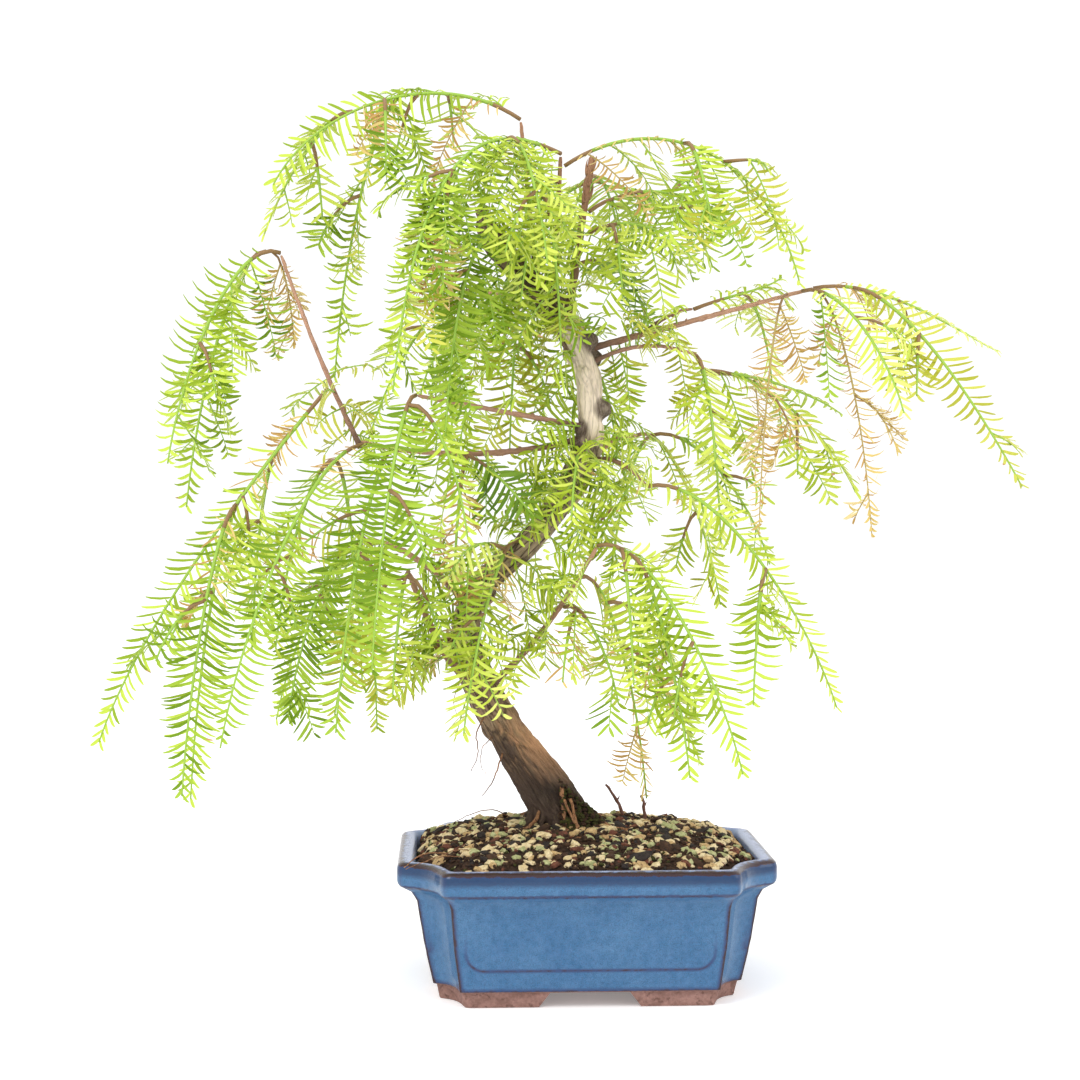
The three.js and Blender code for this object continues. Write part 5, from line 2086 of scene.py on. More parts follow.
@dataclass
class Trunk:
    """The leaning trunk with its flared foot, knots, cracked bark and broken bleached apex."""

    growth: Growth
    sides: int = 22
    ring_step: float = 3.2
    voxel: float = 0.75
    cut_height: float = 73.2
    roots: tuple[tuple[float, float, float], ...] = (
        (-35, 27, 4.2), (20, 24, 3.6), (85, 20, 3.6), (150, 22, 4.0), (205, 21, 4.4), (262, 23, 3.8),
        (-62, 20, 2.6), (118, 20, 2.6), (235, 20, 2.8), (-10, 22, 2.4),
    )
    knots: tuple[Knot, ...] = (
        Knot(279, -15, 3.4, 6.5), Knot(271, 60, 1.6, 6), Knot(262, 200, 2.2, 6), Knot(166, 190, 3.6, 5),
        Knot(150, -60, 1.8, 7), Knot(214, 100, 2.2, 7), Knot(232, -80, 1.8, 7), Knot(305, 170, 1.8, 5),
        Knot(322, 20, 1.8, 6), Knot(120, 150, 1.8, 8), Knot(352, -70, 2.0, 6), Knot(186, 10, 1.8, 7),
        Knot(337, 230, 2.2, 6), Knot(128, -30, 1.4, 8), Knot(296, 250, 1.4, 5),
    )
    burls: tuple[Knot, ...] = (
        Knot(313, -25, 3.4, 6.5), Knot(305, 20, 3.0, 6), Knot(279, -15, 2.0, 5), Knot(269, 205, 2.6, 4.5),
        Knot(261, 215, 2.2, 4), Knot(166, 190, 1.5, 4), Knot(345, -60, 2.0, 5),
    )
    splinters: tuple[tuple[int, Triple, float], ...] = (
        (15, (-1, 1, 13), 3.2), (14, (8, -2, 6), 2.6), (14, (-9, 2, 7), 2.4), (15, (3, -2, 8), 2.0),
        (15, (-5, 2, 7), 2.2), (15, (1, 4, 6), 2.0), (14, (2, -7, 7), 2.0), (14, (5, 5, 5), 1.8),
        (13, (-3, -8, 2), 1.7),
    )
    crack_width: float = 0.2
    crack_depth: float = 0.75
    flake_height: float = 0.26
    lump_height: float = 0.55
    carving: tuple[float, float] = (-1.4, 3.2)
    flare_top: float = 110.0
    dark_foot: float = 92.0
    # Below this height the trunk's left-facing side is darkened as painted shade.
    dark_side: float = 126.0
    # The band, middle and half height, where the right-facing side turns tan: partly a tan patch and partly a
    # painted highlight.
    tan_and_highlight: tuple[float, float] = (114.0, 22.0)

    def tube(self, path: Path, radii: np.ndarray, sides: int, lumps: float) -> bpy.types.Object:
        """Lofts a tube with a slightly uneven section along a path.

        Args:
            path: The path.
            radii: Its radius at even shares of the path.
            sides: How many corners a ring has.
            lumps: How uneven the section is.

        Returns:
            The tube.
        """
        shares = np.linspace(0, 1, len(radii))
        along, side, third = frames_along(path, shares)
        turns = np.arange(sides) * 2 * math.pi / sides
        rings = []
        for point, b, c, radius in zip(path.point(shares), side, third, radii):
            out = np.cos(turns)[:, None] * b + np.sin(turns)[:, None] * c
            uneven = [1 + lumps * noise.noise(Vector(point * 0.035) + Vector(o * 1.1)) for o in out]
            rings.append(point + out * radius * np.array(uneven)[:, None])
        return loft("wood", rings)

    def forms(self) -> Iterator[bpy.types.Object]:
        """Yields the trunk's core, its root flares and the splinters of its broken top."""
        path = self.growth.limbs["trunk"].path
        shares = np.linspace(0, 1, round(path.length / self.ring_step))
        stations = np.arange(len(TRUNK))
        radii = np.interp(path.parameter(shares) * stations[-1], stations, TRUNK[:, 3])
        yield self.tube(path, radii * 0.985, self.sides, 0.16)
        foot = path.point(0.03) * np.array([1, 1, 0])
        for bearing, reach, radius in self.roots:
            outward = np.array([math.cos(math.radians(bearing)), math.sin(math.radians(bearing)), 0])
            profile = ((4, 90), (10, 83), (15, GROUND + 4.5), (reach, GROUND - 1.5))
            line = np.array([foot + outward * away + UP * z for away, z in profile])
            yield self.tube(through(line), radius * (1.15 - 0.75 * np.linspace(0, 1, 16)), 10, 0.2)
        for station, tip, radius in self.splinters:
            start, end = TRUNK[station, :3] - UP * 4, TRUNK[station, :3] + np.array(tip, float)
            line = np.array([start, start * 0.5 + end * 0.5, end])
            yield self.tube(through(line), radius * np.linspace(1, 0.22, 10), 8, 0.3)

    def build(self) -> bpy.types.Object:
        """Joins the trunk's forms, melts them together, carves the bark and cuts it off at the soil.

        Returns:
            The trunk.
        """
        trunk = join("bark_trunk", list(self.forms()))
        apply_modifier(trunk, "REMESH", mode="VOXEL", voxel_size=self.voxel * MM)
        apply_modifier(trunk, "SMOOTH", factor=0.5, iterations=3)
        self.carve(trunk)
        self.cut_off(trunk)
        note(trunk, "straight", self.straighten(positions(trunk)))
        self.note_dark_shade_and_tan(trunk)
        finish(trunk, OLD_BARK)
        return show(trunk, "bark", "trunk")

    def straighten(self, points: np.ndarray) -> np.ndarray:
        """Returns where each point would lie if the trunk were laid straight along the third axis.

        Args:
            points: The points.

        Returns:
            The points, in millimetres.
        """
        path = self.growth.limbs["trunk"].path
        shares = np.linspace(0, 1, 500)
        middle = path.point(shares)
        _, side, third = frames_along(path, shares)
        tree = tree_of_points(middle)
        nearest = np.array([tree.find(point)[1] for point in points])
        away = points - middle[nearest]
        return np.column_stack([
            np.sum(away * side[nearest], axis=1), np.sum(away * third[nearest], axis=1),
            shares[nearest] * path.length,
        ])

    def carve(self, trunk: bpy.types.Object) -> None:
        """Raises the knots and carves the long cracks and flakes of the bark.

        Args:
            trunk: The smooth trunk.
        """
        points, facing = positions(trunk), normals(trunk)
        lift = np.zeros(len(points))
        for order, (place, (x, y, z)) in enumerate(zip(points, self.straighten(points))):
            crack = abs(noise.noise(Vector((x * 0.34, y * 0.34, z * 0.05))))
            flake = noise.noise(Vector((x * 0.9, y * 0.9, z * 0.2)))
            lump = noise.noise(Vector(place * 0.11))
            depth = -self.crack_depth * max(0.0, self.crack_width - crack) / self.crack_width
            lift[order] = depth + self.flake_height * flake + self.lump_height * lump
        for knot in self.knots + self.burls:
            away = self.away_from(knot, points)
            swelling = np.exp(-(away**2) * 2.2) - 0.35 * np.exp(-((away - 0.95) ** 2) * 14)
            lift += knot.swell * swelling
        lift *= 1 + 0.5 * np.clip((self.flare_top - points[:, 2]) / 30, 0, 1)
        move_to(trunk, points + facing * np.clip(lift, *self.carving)[:, None])

    def away_from(self, knot: Knot, points: np.ndarray) -> np.ndarray:
        """Returns how far points lie from a knot on the trunk's side, in the knot's size.

        Args:
            knot: The knot.
            points: The points, one to a row.

        Returns:
            The distances.
        """
        x, y, radius = (np.interp(knot.height, TRUNK[:, 2], TRUNK[:, column]) for column in (0, 1, 3))
        bearing = math.radians(knot.bearing)
        place = np.array([x + radius * math.cos(bearing), y + radius * math.sin(bearing), knot.height])
        return np.linalg.norm(points - place, axis=1) / knot.size

    def note_dark_shade_and_tan(self, trunk: bpy.types.Object) -> None:
        """Notes where the bark is dark: darker towards the foot, at its burls, and painted shade on its
        left-facing side; and where it is tan on its right-facing side, partly a tan patch and partly a
        painted highlight.

        Args:
            trunk: The carved trunk.
        """
        points, facing = positions(trunk), normals(trunk)
        height, to_right = points[:, 2], facing[:, 0]
        # Painted shade: the side facing left is darkened low on the trunk.
        shaded = np.clip((self.dark_side - height) / 20, 0, 1) * np.clip(0.1 - to_right * 1.4, 0, 1)
        dark = np.maximum(np.clip((self.dark_foot - height) / 12, 0, 1), shaded)
        for knot in self.burls:
            dark = np.maximum(dark, np.clip(2.5 - 1.7 * self.away_from(knot, points), 0, 1))
        # Tan on the side facing right: partly a tan patch and partly a painted highlight.
        middle, half = self.tan_and_highlight
        along = np.clip(1 - np.abs(height - middle) / half, 0, 1)
        note(trunk, "dark", dark)
        note(trunk, "tan", along * np.clip(to_right * 1.5 + 0.2, 0, 1))

    def cut_off(self, trunk: bpy.types.Object) -> None:
        """Cuts the trunk off flat at the soil, and closes the cut.

        Args:
            trunk: The trunk.
        """
        place = (0, 0, self.cut_height * MM)
        with edited(trunk):
            bpy.ops.mesh.bisect(plane_co=place, plane_no=(0, 0, -1), use_fill=True, clear_outer=True)


@dataclass
class Boughs:
    """Every bough as its own tapering limb with a collar, buds and fine cracked bark."""

    growth: Growth
    sides: int = 9
    ring_step: float = 2.2
    collar: float = 2.6
    collar_swell: float = 0.3
    collar_fade: float = 3.5
    joint_swell: float = 0.2
    bud_profile: tuple[tuple[float, ...], tuple[float, ...]] = ((0, 0.3, 0.65, 1.0), (0.34, 0.42, 0.26, 0.05))
    tear_profile: tuple[float, ...] = (1.0, 0.95, 0.8, 0.62, 0.4, 0.16)
    bud_gaps: dict[str, int] = field(default_factory=lambda: {
        "bough_mid_left": 4, "bough_long_left": 5, "bough_high_right": 5, "leader_left": 4,
    })

    def build(self) -> list[bpy.types.Object]:
        """Models each bough on the limb that carries it."""
        return [self.bough(name, order) for order, name in enumerate(BOUGHS)]

    def bough(self, name: str, order: int) -> bpy.types.Object:
        """Models one bough: its foot swells into a collar that is sunk in what it grows on.

        Args:
            name: The bough's name.
            order: Its place in the table, which varies its waver, joints and buds.

        Returns:
            The bough.
        """
        limb = self.growth.limbs[name]
        path, length = limb.path, limb.path.length
        start, end = BOUGHS[name].radii
        shares = np.linspace(0, 1, max(8, round(length / self.ring_step)))
        foot = path.point(0.0) - self.growth.leads[name] * (self.collar + 0.5)
        line = np.vstack([foot, path.point(shares)])
        line[2:-1] = wavering(line, 0.22 * start, order * 5.3)[2:-1]
        run = np.linspace(0, 1, len(line))
        radii = start + (end - start) * run
        radii *= 1 + self.collar_swell * np.exp(-run * length / self.collar_fade)
        radii *= 1 + 0.1 * np.array([noise.noise(Vector((r * length * 0.22, order, 0))) for r in run])
        for joint in np.arange(14, length - 4, 21 + 3 * (order % 3)):
            radii *= 1 + self.joint_swell * np.exp(-((run * length - joint) / 1.5) ** 2)
        radii[-1] *= 0.7
        strands = Strands(sides=self.sides)
        strands.add(line, radii)
        gaps = self.bud_gaps.get(name, 2)
        for bud in range(1, gaps):
            self.add_bud(strands, limb, 0.08 + 0.84 * bud / gaps, 1.5 + 0.5 * (bud % 2), order)
        if name == "leader_right":
            self.add_tears(strands, limb)
        bark = LEADER_BARK if name.startswith("leader") else YOUNG_BARK
        piece = strands.build(f"{name}_bark", [bark.make()])
        note(piece, "straight", self.laid_straight(positions(piece), line))
        return show(piece, "young_bark", name)

    def laid_straight(self, points: np.ndarray, line: np.ndarray) -> np.ndarray:
        """Returns where points would lie if the line were straight along the third axis.

        Args:
            points: The points, one to a row.
            line: The line.

        Returns:
            The points, one to a row.
        """
        run = np.concatenate([[0], np.cumsum(np.linalg.norm(np.diff(line, axis=0), axis=1))])
        apart = np.linalg.norm(points[:, None, :] - line[None, :, :], axis=2)
        nearest = apart.argmin(axis=1)
        away = points - line[nearest]
        return np.column_stack([away[:, 0], away[:, 1] + away[:, 2], run[nearest]])

    def add_bud(self, strands: Strands, limb: Limb, at: float, size: float, order: int) -> None:
        """Adds one pointed bud on a limb.

        Args:
            strands: Where it is gathered.
            limb: The limb.
            at: How far along the limb it sits.
            size: Its length.
            order: The limb's place in the table, which turns it.
        """
        along = limb.path.tangent(at)
        around = unit(np.cross(along, np.array([math.cos(order + at * 40), math.sin(order + at * 40), 0.4])))
        start = limb.path.point(at) + around * float(limb.radius(np.array(at))) * 0.6
        lean = unit(around + along * 0.7)
        shares, radii = self.bud_profile
        strands.add(np.array([start + lean * size * share for share in shares]), size * np.array(radii))

    def add_tears(self, strands: Strands, limb: Limb) -> None:
        """Adds the torn fibres and flaking bark at the end of a broken leader.

        Args:
            strands: Where they are gathered.
            limb: The leader.
        """
        top = limb.path.point(1.0)[2] - 0.4
        for order in range(9):
            share, turn = 0.62 + 0.04 * order, order * 2.4
            along = limb.path.tangent(share)
            around = unit(np.cross(along, np.array([math.cos(turn), math.sin(turn), 0.2])))
            start = limb.path.point(share) + around * 1.3
            end = start + around * (0.8 + 0.25 * (order % 3)) + along * (6.5 + 0.8 * (order % 4))
            line = bent_line(start, end, around * 0.5, 5)
            line[:, 2] = np.minimum(line[:, 2], top)
            strands.add(line, np.array(self.tear_profile) * (0.75 + 0.1 * (order % 3)))


@dataclass
class Deadwood:
    """Dead sprouts in the soil, a dead stub and the thin aerial roots that hang from the trunk."""

    sprout_profile: tuple[float, ...] = (1.5, 1.15, 1, 1.1, 0.95, 1.15, 1, 0.9, 1.05, 0.75)
    spur: tuple[Triple, ...] = ((0, 0, 0), (1.0, 0, 1.2), (1.5, -0.3, 2.6))
    spur_radii: tuple[float, ...] = (0.5, 0.4, 0.12)
    stub: tuple[Triple, ...] = ((-55, 1, 160), (-61, -2, 161), (-64.5, -3.5, 164), (-66, -4, 168.5))
    stub_radii: tuple[float, ...] = (2.6, 2.0, 1.5, 0.5)
    hanging: tuple[tuple, ...] = (
        ((-48, 0, 128), (-52, -2, 120), (-51, -1, 110), (-55, 0, 101), 0.3),
        ((-39, 2, 110), (-41, 0, 104), (-44, 1, 96), (-49, 2, 89), 0.35),
        ((-44, 1, 118), (-49, -2, 113), (-50, -3, 105), (-47, -4, 100), 0.2),
        ((-56, 1, 150), (-60, -4, 145), (-63, -5, 137), (-62, -6, 130), 0.22),
    )

    def sprout(self, name: str, sprout: Sprout) -> bpy.types.Object:
        """Models one dead sprout, with a small spur half way up.

        Args:
            name: Its name.
            sprout: Where it stands, its tip and its radii.

        Returns:
            The sprout.
        """
        foot = np.array([*sprout.foot, GROUND])
        end = foot + UP * GAP + np.array(sprout.tip, float)
        bent = bent_line(foot - UP * 3, end, np.array([1.2, 0, 0.8]), len(self.sprout_profile) - 1)
        line = wavering(bent, 0.9, foot[0])
        line[-1] = end
        strands = Strands(sides=8)
        strands.add(line, np.linspace(*sprout.radii, len(line)) * np.array(self.sprout_profile))
        strands.add(line[5] + np.array(self.spur), np.array(self.spur_radii))
        piece = strands.build(f"{name}_bark", [SPROUT_BARK.make()])
        note(piece, "straight", positions(piece) - foot)
        return show(piece, "young_bark", name)

    def scraps(self) -> bpy.types.Object:
        """Models the stub on the trunk and the thin aerial roots that hang from it.

        Returns:
            The joined piece.
        """
        strands = Strands(sides=7)
        strands.add(np.array(self.stub, float), np.array(self.stub_radii))
        for order, (*stations, radius) in enumerate(self.hanging):
            line = wavering(points_through(stations, 14), 0.6, order * 4.7)
            strands.add(line, radius * np.linspace(1.3, 0.55, len(line)))
        piece = strands.build("trunk_scraps", [ROOT_BARK.make()])
        note(piece, "straight", positions(piece) * 0.3)
        return show(piece, "bark")

    def build(self) -> None:
        """Models every dead sprout, the stub and the aerial roots."""
        for name, sprout in SPROUTS.items():
            self.sprout(name, sprout)
        self.scraps()


# ---- Foliage ----


@dataclass(frozen=True)
class Habit:
    """How the needles of a kind of spray grow: their size, spacing, lean, curl and browning."""

    length: float = 16.8
    width: float = 1.75
    pitch: float = 4.5
    lean: float = 34.0
    curl: float = -0.42
    lift: float = 8.0
    rust: float = 0.015
    loose: float = 0.12


YOUNG = Habit()
SOFT = Habit(length=15.8, width=1.65, pitch=4.1, lean=37.0, curl=-0.36, lift=12.0)
DENSE = Habit(length=17.4, width=1.95, pitch=3.2, lean=31.0, curl=-0.36, lift=6.0)
COMB = Habit(length=19.6, width=1.6, pitch=4.2, lean=35.0, curl=-0.46, lift=8.0)
DRY = Habit(length=13.6, width=1.35, pitch=2.5, lean=44.0, curl=-0.5, lift=22.0, rust=0.2, loose=0.34)
FINE = Habit(length=14.0, width=1.6, pitch=3.7, lean=36.0, curl=-0.36, lift=14.0, rust=0.02, loose=0.18)

HABIT_OF = {
    LIME: SOFT, LEAF: YOUNG, DEEP: DENSE, TEAL: DENSE, PALE: SOFT, OLIVE: YOUNG, STRAW: DRY, RUST: DRY,
}


def first_shade(tint: Tint) -> int:
    """Returns where the first shade of a tint stands among the needles' finishes."""
    return list(Tint).index(tint) * len(SHADES)


def turned(first: np.ndarray, second: np.ndarray, turn: np.ndarray) -> tuple[np.ndarray, np.ndarray]:
    """Turns pairs of directions in their own plane.

    Args:
        first: The first direction of each pair.
        second: The second one, across it.
        turn: How far each pair turns, the first towards the second, in radians.

    Returns:
        Both directions, turned.
    """
    cos, sin = np.cos(turn)[:, None], np.sin(turn)[:, None]
    return first * cos + second * sin, second * cos - first * sin


@dataclass
class Needles:
    """Gathers needles as rows of arrays, and lays them all out as one mesh of closed blades.

    A blade has five rings of four corners, folded a little along its rib, and a blunt end.
    """

    stations: tuple[float, ...] = (0.0, 0.1, 0.38, 0.72, 0.94)
    shares: tuple[float, ...] = (0.32, 0.78, 1.0, 0.88, 0.5)
    fold: float = 0.16
    thickness: float = 0.36
    rust_from: int = 12
    rows: list[dict[str, np.ndarray]] = field(default_factory=list)

    def add(self, **row: np.ndarray) -> None:
        """Adds needles: their foot, out, side, bend, droop, length, width, tint and rusty share."""
        self.rows.append(row)

    def line(self, rows: dict[str, np.ndarray], share: float) -> np.ndarray:
        """Returns the point on every needle's rib at a share of its length.

        Args:
            rows: Every needle's measures.
            share: From 0 at the root to 1 at the tip.

        Returns:
            The points, one to a row.
        """
        length = rows["length"][:, None]
        point = rows["foot"] + rows["out"] * length * share
        return point + rows["bend"] * length * share**2 - UP * rows["droop"][:, None] * share**2

    def corners(self, rows: dict[str, np.ndarray]) -> np.ndarray:
        """Returns the corners of every blade, ring by ring, each blade's tip last.

        Args:
            rows: Every needle's measures.

        Returns:
            The points, in millimetres.
        """
        normal = unit(np.cross(rows["out"], rows["side"]))
        half = rows["width"][:, None] / 2
        rings = []
        for station, share in zip(self.stations, self.shares):
            middle = self.line(rows, station)
            wide = rows["side"] * half * share
            groove = normal * half * share * self.fold
            keel = groove + normal * self.thickness * share
            rings += [middle + wide, middle - groove, middle - wide, middle - keel]
        return np.stack([*rings, self.line(rows, 1.0)], axis=1).reshape(-1, 3)

    def build(self, name: str) -> bpy.types.Object:
        """Returns the joined mesh of every needle.

        Args:
            name: The piece's name.

        Returns:
            The piece.
        """
        rows = {key: np.concatenate([row[key] for row in self.rows]) for key in self.rows[0]}
        last = len(self.stations) * 4
        quads, upper = [(3, 2, 1, 0)], [False]
        for low in range(last - 4):
            after = low // 4 * 4 + (low + 1) % 4
            quads.append((low, after, after + 4, low + 4))
            upper.append(low % 4 < 2)
        ends = [(last - 4 + corner, last - 4 + (corner + 1) % 4, last) for corner in range(4)]
        starts = np.arange(len(rows["length"]))[:, None, None] * (last + 1)
        blocks = [(starts + np.array(quads)).reshape(-1, 4), (starts + np.array(ends)).reshape(-1, 3)]
        rusty = first_shade(RUST)
        top, rust = rows["tint"][:, None], rows["rust"][:, None]
        # Undersides take the under shade: paler and yellower, partly their own colour and partly painted
        # light shining through the needles.
        under = top // len(SHADES) * len(SHADES) + len(SHADES) - 1
        far = (rust > 1) & (np.arange(len(quads)) > self.rust_from)
        quad_tints = np.where(far, rusty, np.where(np.array(upper), top, under))
        end_tints = np.where(rust > 0, rusty, np.where(np.arange(4) < 2, top, under))
        finish_of = np.concatenate([quad_tints.ravel(), end_tints.ravel()])
        return from_arrays(name, self.corners(rows), blocks, leaf_finishes(), finish_of, smooth=False)


@dataclass(frozen=True)
class Spray:
    """One spray to dress: its path and facing, its tint and habit, and where its needles start.

    Twist turns its plane about the path, and withered is the stretch where it has gone to straw.
    """

    path: Path
    facing: np.ndarray
    tint: Tint
    habit: Habit
    bare: float
    twist: float = 0.0
    withered: tuple[float, float] = (1.0, 1.0)
    fine: bool = False


@dataclass
class Foliage:
    """The crown: every mass as twigs and needles that grow from its limb, carried to finer twigs."""

    growth: Growth
    bare_twig: float = 9.0
    fine_length: tuple[float, float] = (17.0, 38.0)
    fine_taper: tuple[float, float] = (1.1, 0.45)
    fine_splay: tuple[float, float] = (0.35, 0.8)
    fine_forward: float = 0.75
    fine_hang: tuple[float, float] = (0.2, 0.7)
    fine_back: float = 0.85
    fine_from: float = 8.0
    fine_until: float = 0.84
    fine_apart: tuple[float, float] = (0.7, 1.3)
    tuft_length: tuple[float, float] = (14.0, 30.0)
    tuft_depth: tuple[float, float] = (-1.2, 0.5)
    tuft_rise: tuple[float, float] = (-0.5, 0.9)
    tuft_turn: float = 0.6
    tuft_tint: float = 0.7
    own_tint: float = 0.66
    withered_twigs: float = 0.7
    withered_needles: float = 0.85
    twists: tuple[float, float, float] = (0.35, 0.8, 1.2)
    twig_radii: tuple[float, float, float] = (1.1, 0.66, 0.5)
    twig_taper: float = 0.62
    woody_foot: float = 16.0
    pitches: tuple[float, float] = (0.88, 1.12)
    leans: tuple[float, float] = (-9.0, 9.0)
    curls: tuple[float, float] = (-0.2, 0.16)
    sizes: tuple[float, float] = (0.88, 1.06)
    outer_from: float = 0.6
    outer_lean: float = 28.0
    outer_shrink: float = 0.62
    uneven: tuple[float, float] = (0.22, 0.45)
    swing: tuple[float, float] = (0.3, 5.0)
    droops: tuple[float, float, float] = (0.03, 0.08, 0.58)
    rusty_tip: tuple[float, float] = (0.93, 0.06)
    # Painted light: the chance of the light shade for needles that point to the right, which stand lit; for
    # those that point to the left, which stand shaded; and near a spray's tip, where the young growth is
    # paler.
    light_side: tuple[float, float, float] = (0.7, 0.25, 0.85)
    shortening: float = 0.72
    margin: float = 0.6
    wood_gap: float = 0.4
    bounds: tuple[np.ndarray, np.ndarray] | None = None
    wood: kdtree.KDTree | None = None
    wood_radii: list[float] = field(default_factory=list)

    def prepare(self) -> None:
        """Notes the box that the crown keeps to, and where the wood is."""
        low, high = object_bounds()
        self.bounds = PLACE.back(np.array(low)) + self.margin, PLACE.back(np.array(high)) - self.margin
        spots = []
        for limb in self.growth.limbs.values():
            shares = np.linspace(0, 1, max(12, int(limb.path.length / 2)))
            spots += list(zip(limb.path.point(shares), limb.radius(shares)))
        self.wood = tree_of_points([point for point, _ in spots])
        self.wood_radii = [float(radius) for _, radius in spots]

    def twist(self, kind: int, random: SeededNumbers) -> float:
        """Returns how far a main shoot (0), a finer twig (1) or a tuft (2) is turned about its path."""
        return random.between(-self.twists[kind], self.twists[kind])

    def build(self) -> None:
        """Dresses every mass."""
        self.prepare()
        for order, name in enumerate(FOLIAGE):
            self.mass(name, SeededNumbers(5000 + 37 * order))

    def mass(self, name: str, random: SeededNumbers) -> None:
        """Models the twigs and the needles of one mass.

        Args:
            name: Its name.
            random: The mass's own numbers.
        """
        mass = FOLIAGE[name]
        twigs, needles = Strands(sides=5), Needles()
        for path, facing, order in self.growth.sprays[name]:
            shoot = mass.shoots[order]
            twist = self.twist(0, random)
            habit = COMB if mass.combed else HABIT_OF[shoot.tint]
            bare = self.bare_twig / path.length
            spray = Spray(path, facing, shoot.tint, habit, bare, twist, shoot.withered)
            self.dress(spray, twigs, needles, random)
            for fine in self.finer(spray, mass.apart, random):
                self.dress(fine, twigs, needles, random)
        for tuft in mass.tufts:
            for spray in self.tuft(tuft, -1.0 if "back" in name else 1.0, random):
                self.dress(spray, twigs, needles, random)
        plain = name.removeprefix("mass_")
        finishes = [BROWN_TWIG.make(), GREEN_TWIG.make(), STRAW_TWIG.make()]
        show(twigs.build(f"twigs_{plain}", finishes), "foliage", name)
        show(needles.build(f"needles_{plain}"), "foliage", name)

    def tuft(self, tuft: Tuft, forward: float, random: SeededNumbers) -> Iterator[Spray]:
        """Yields short leafy twigs that grow straight from a limb.

        Args:
            tuft: Where they grow, and how many.
            forward: 1 where most of them point to the front, and -1 to the back.
            random: The mass's own numbers.
        """
        limb = self.growth.limbs[tuft.on]
        for order in range(tuft.count):
            share = tuft.first + (tuft.last - tuft.first) * (order + random()) / tuft.count
            along = limb.path.tangent(share)
            depth = random.between(*self.tuft_depth) * forward
            lead = np.array([random.between(-1, 1), depth, random.between(*self.tuft_rise)])
            lead = unit(lead - along * np.dot(lead, along))
            start = limb.path.point(share) + lead * float(limb.radius(np.array(share)))
            length = random.between(*self.tuft_length)
            hang = UP * length * random.between(*self.fine_hang)
            end = start + lead * length - hang
            if self.in_crown(end):
                path = cubic(start, start + lead * length * 0.45, end + hang * 0.4, end)
                facing = unit(np.array([random.between(-self.tuft_turn, self.tuft_turn), -1.0, 1.0]))
                tint = tuft.tint if random() < self.tuft_tint else LEAF
                habit = DRY if tint is STRAW else FINE
                yield Spray(path, facing, tint, habit, 0.06, self.twist(2, random), fine=True)

    def finer(self, spray: Spray, apart: float, random: SeededNumbers) -> Iterator[Spray]:
        """Yields the finer twigs of a spray, to alternate sides, shorter towards its tip.

        Args:
            spray: The spray that they grow on.
            apart: How far apart they stand, in millimetres.
            random: The mass's own numbers.
        """
        side = 1 if random() < 0.5 else -1
        full, less = self.fine_taper
        reached = self.fine_from + 0.5 * apart * random()
        while reached < spray.path.length * self.fine_until:
            share = reached / spray.path.length
            start, along = spray.path.point(share), spray.path.tangent(share)
            across = unit(np.cross(spray.facing, along))
            length = random.between(*self.fine_length) * (full - less * share)
            depth = unit(np.cross(along, across)) * (random() - self.fine_back) * 1.5
            lead = unit(across * side * random.between(*self.fine_splay) + along * self.fine_forward + depth)
            least, most = self.fine_hang
            hang = UP * length * (least + (most - least) * (1 - abs(along[2])))
            end = start + lead * length - hang
            if self.in_crown(end):
                path = cubic(start, start + lead * length * 0.4, end + hang * 0.4, end)
                tint = self.finer_tint(spray, share, random)
                habit = DRY if tint is STRAW else FINE
                yield Spray(path, spray.facing, tint, habit, 0.1, self.twist(1, random), fine=True)
            side = -side
            reached += apart * random.between(*self.fine_apart)

    def finer_tint(self, spray: Spray, share: float, random: SeededNumbers) -> Tint:
        """Returns the tint of a finer twig: mostly its spray's own, and straw where that has withered.

        Args:
            spray: The spray that it grows on.
            share: Where along the spray it grows.
            random: The mass's own numbers.

        Returns:
            The tint.
        """
        dry = spray.withered[0] < share < spray.withered[1]
        tint = spray.tint if random() < self.own_tint else (LIME, PALE, OLIVE, DEEP)[int(random() * 4)]
        return STRAW if dry and random() < self.withered_twigs else tint

    def in_box(self, points: np.ndarray) -> np.ndarray:
        """Returns which points keep inside the crown's box."""
        low, high = self.bounds
        return np.all((points > low) & (points < high), axis=1)

    def in_crown(self, tip: np.ndarray) -> bool:
        """Says whether a twig's tip keeps inside the crown's box and above its floor."""
        return bool(tip[2] > CROWN_FLOOR and self.in_box(tip[None])[0])

    def clear(self, points: np.ndarray) -> np.ndarray:
        """Returns which points lie clear of the wood."""
        found = (self.wood.find(point) for point in points)
        return np.array([away > self.wood_radii[order] + self.wood_gap for _, order, away in found], bool)

    def twig(self, spray: Spray, twigs: Strands) -> None:
        """Adds the twig of a spray, brown at its very foot where it is a main shoot.

        Args:
            spray: The spray.
            twigs: Where its twig is gathered.
        """
        dry, length = spray.habit is DRY, spray.path.length
        steps = max(5, int(length / 5))
        shares = np.linspace(0, 1, steps)
        line = spray.path.point(shares)
        radii = self.twig_radii[2 if spray.fine else int(dry)] * (1 - self.twig_taper * shares)
        woody = 0 if spray.fine else max(2, int(steps * min(0.5, self.woody_foot / length)))
        if woody:
            twigs.add(line[: woody + 1], radii[: woody + 1], 0)
        twigs.add(line[woody:], radii[woody:], 2 if dry else 1)

    def dress(self, spray: Spray, twigs: Strands, needles: Needles, random: SeededNumbers) -> None:
        """Adds the twig of a spray and its pairs of needles.

        Args:
            spray: The spray.
            twigs: Where its twig is gathered.
            needles: Where its needles are gathered.
            random: The mass's own numbers.
        """
        self.twig(spray, twigs)
        row = self.pairs(spray, random)
        for _ in range(4):
            outside = ~self.in_box(needles.line(row, 1.0))
            row["length"] = np.where(outside, row["length"] * self.shortening, row["length"])
        tips, middles = needles.line(row, 1.0), needles.line(row, 0.55)
        keep = self.in_box(tips) & self.clear(middles) & self.clear(tips) & (tips[:, 2] > CROWN_FLOOR - 1)
        if keep.any():
            needles.add(**{key: value[keep] for key, value in row.items()})

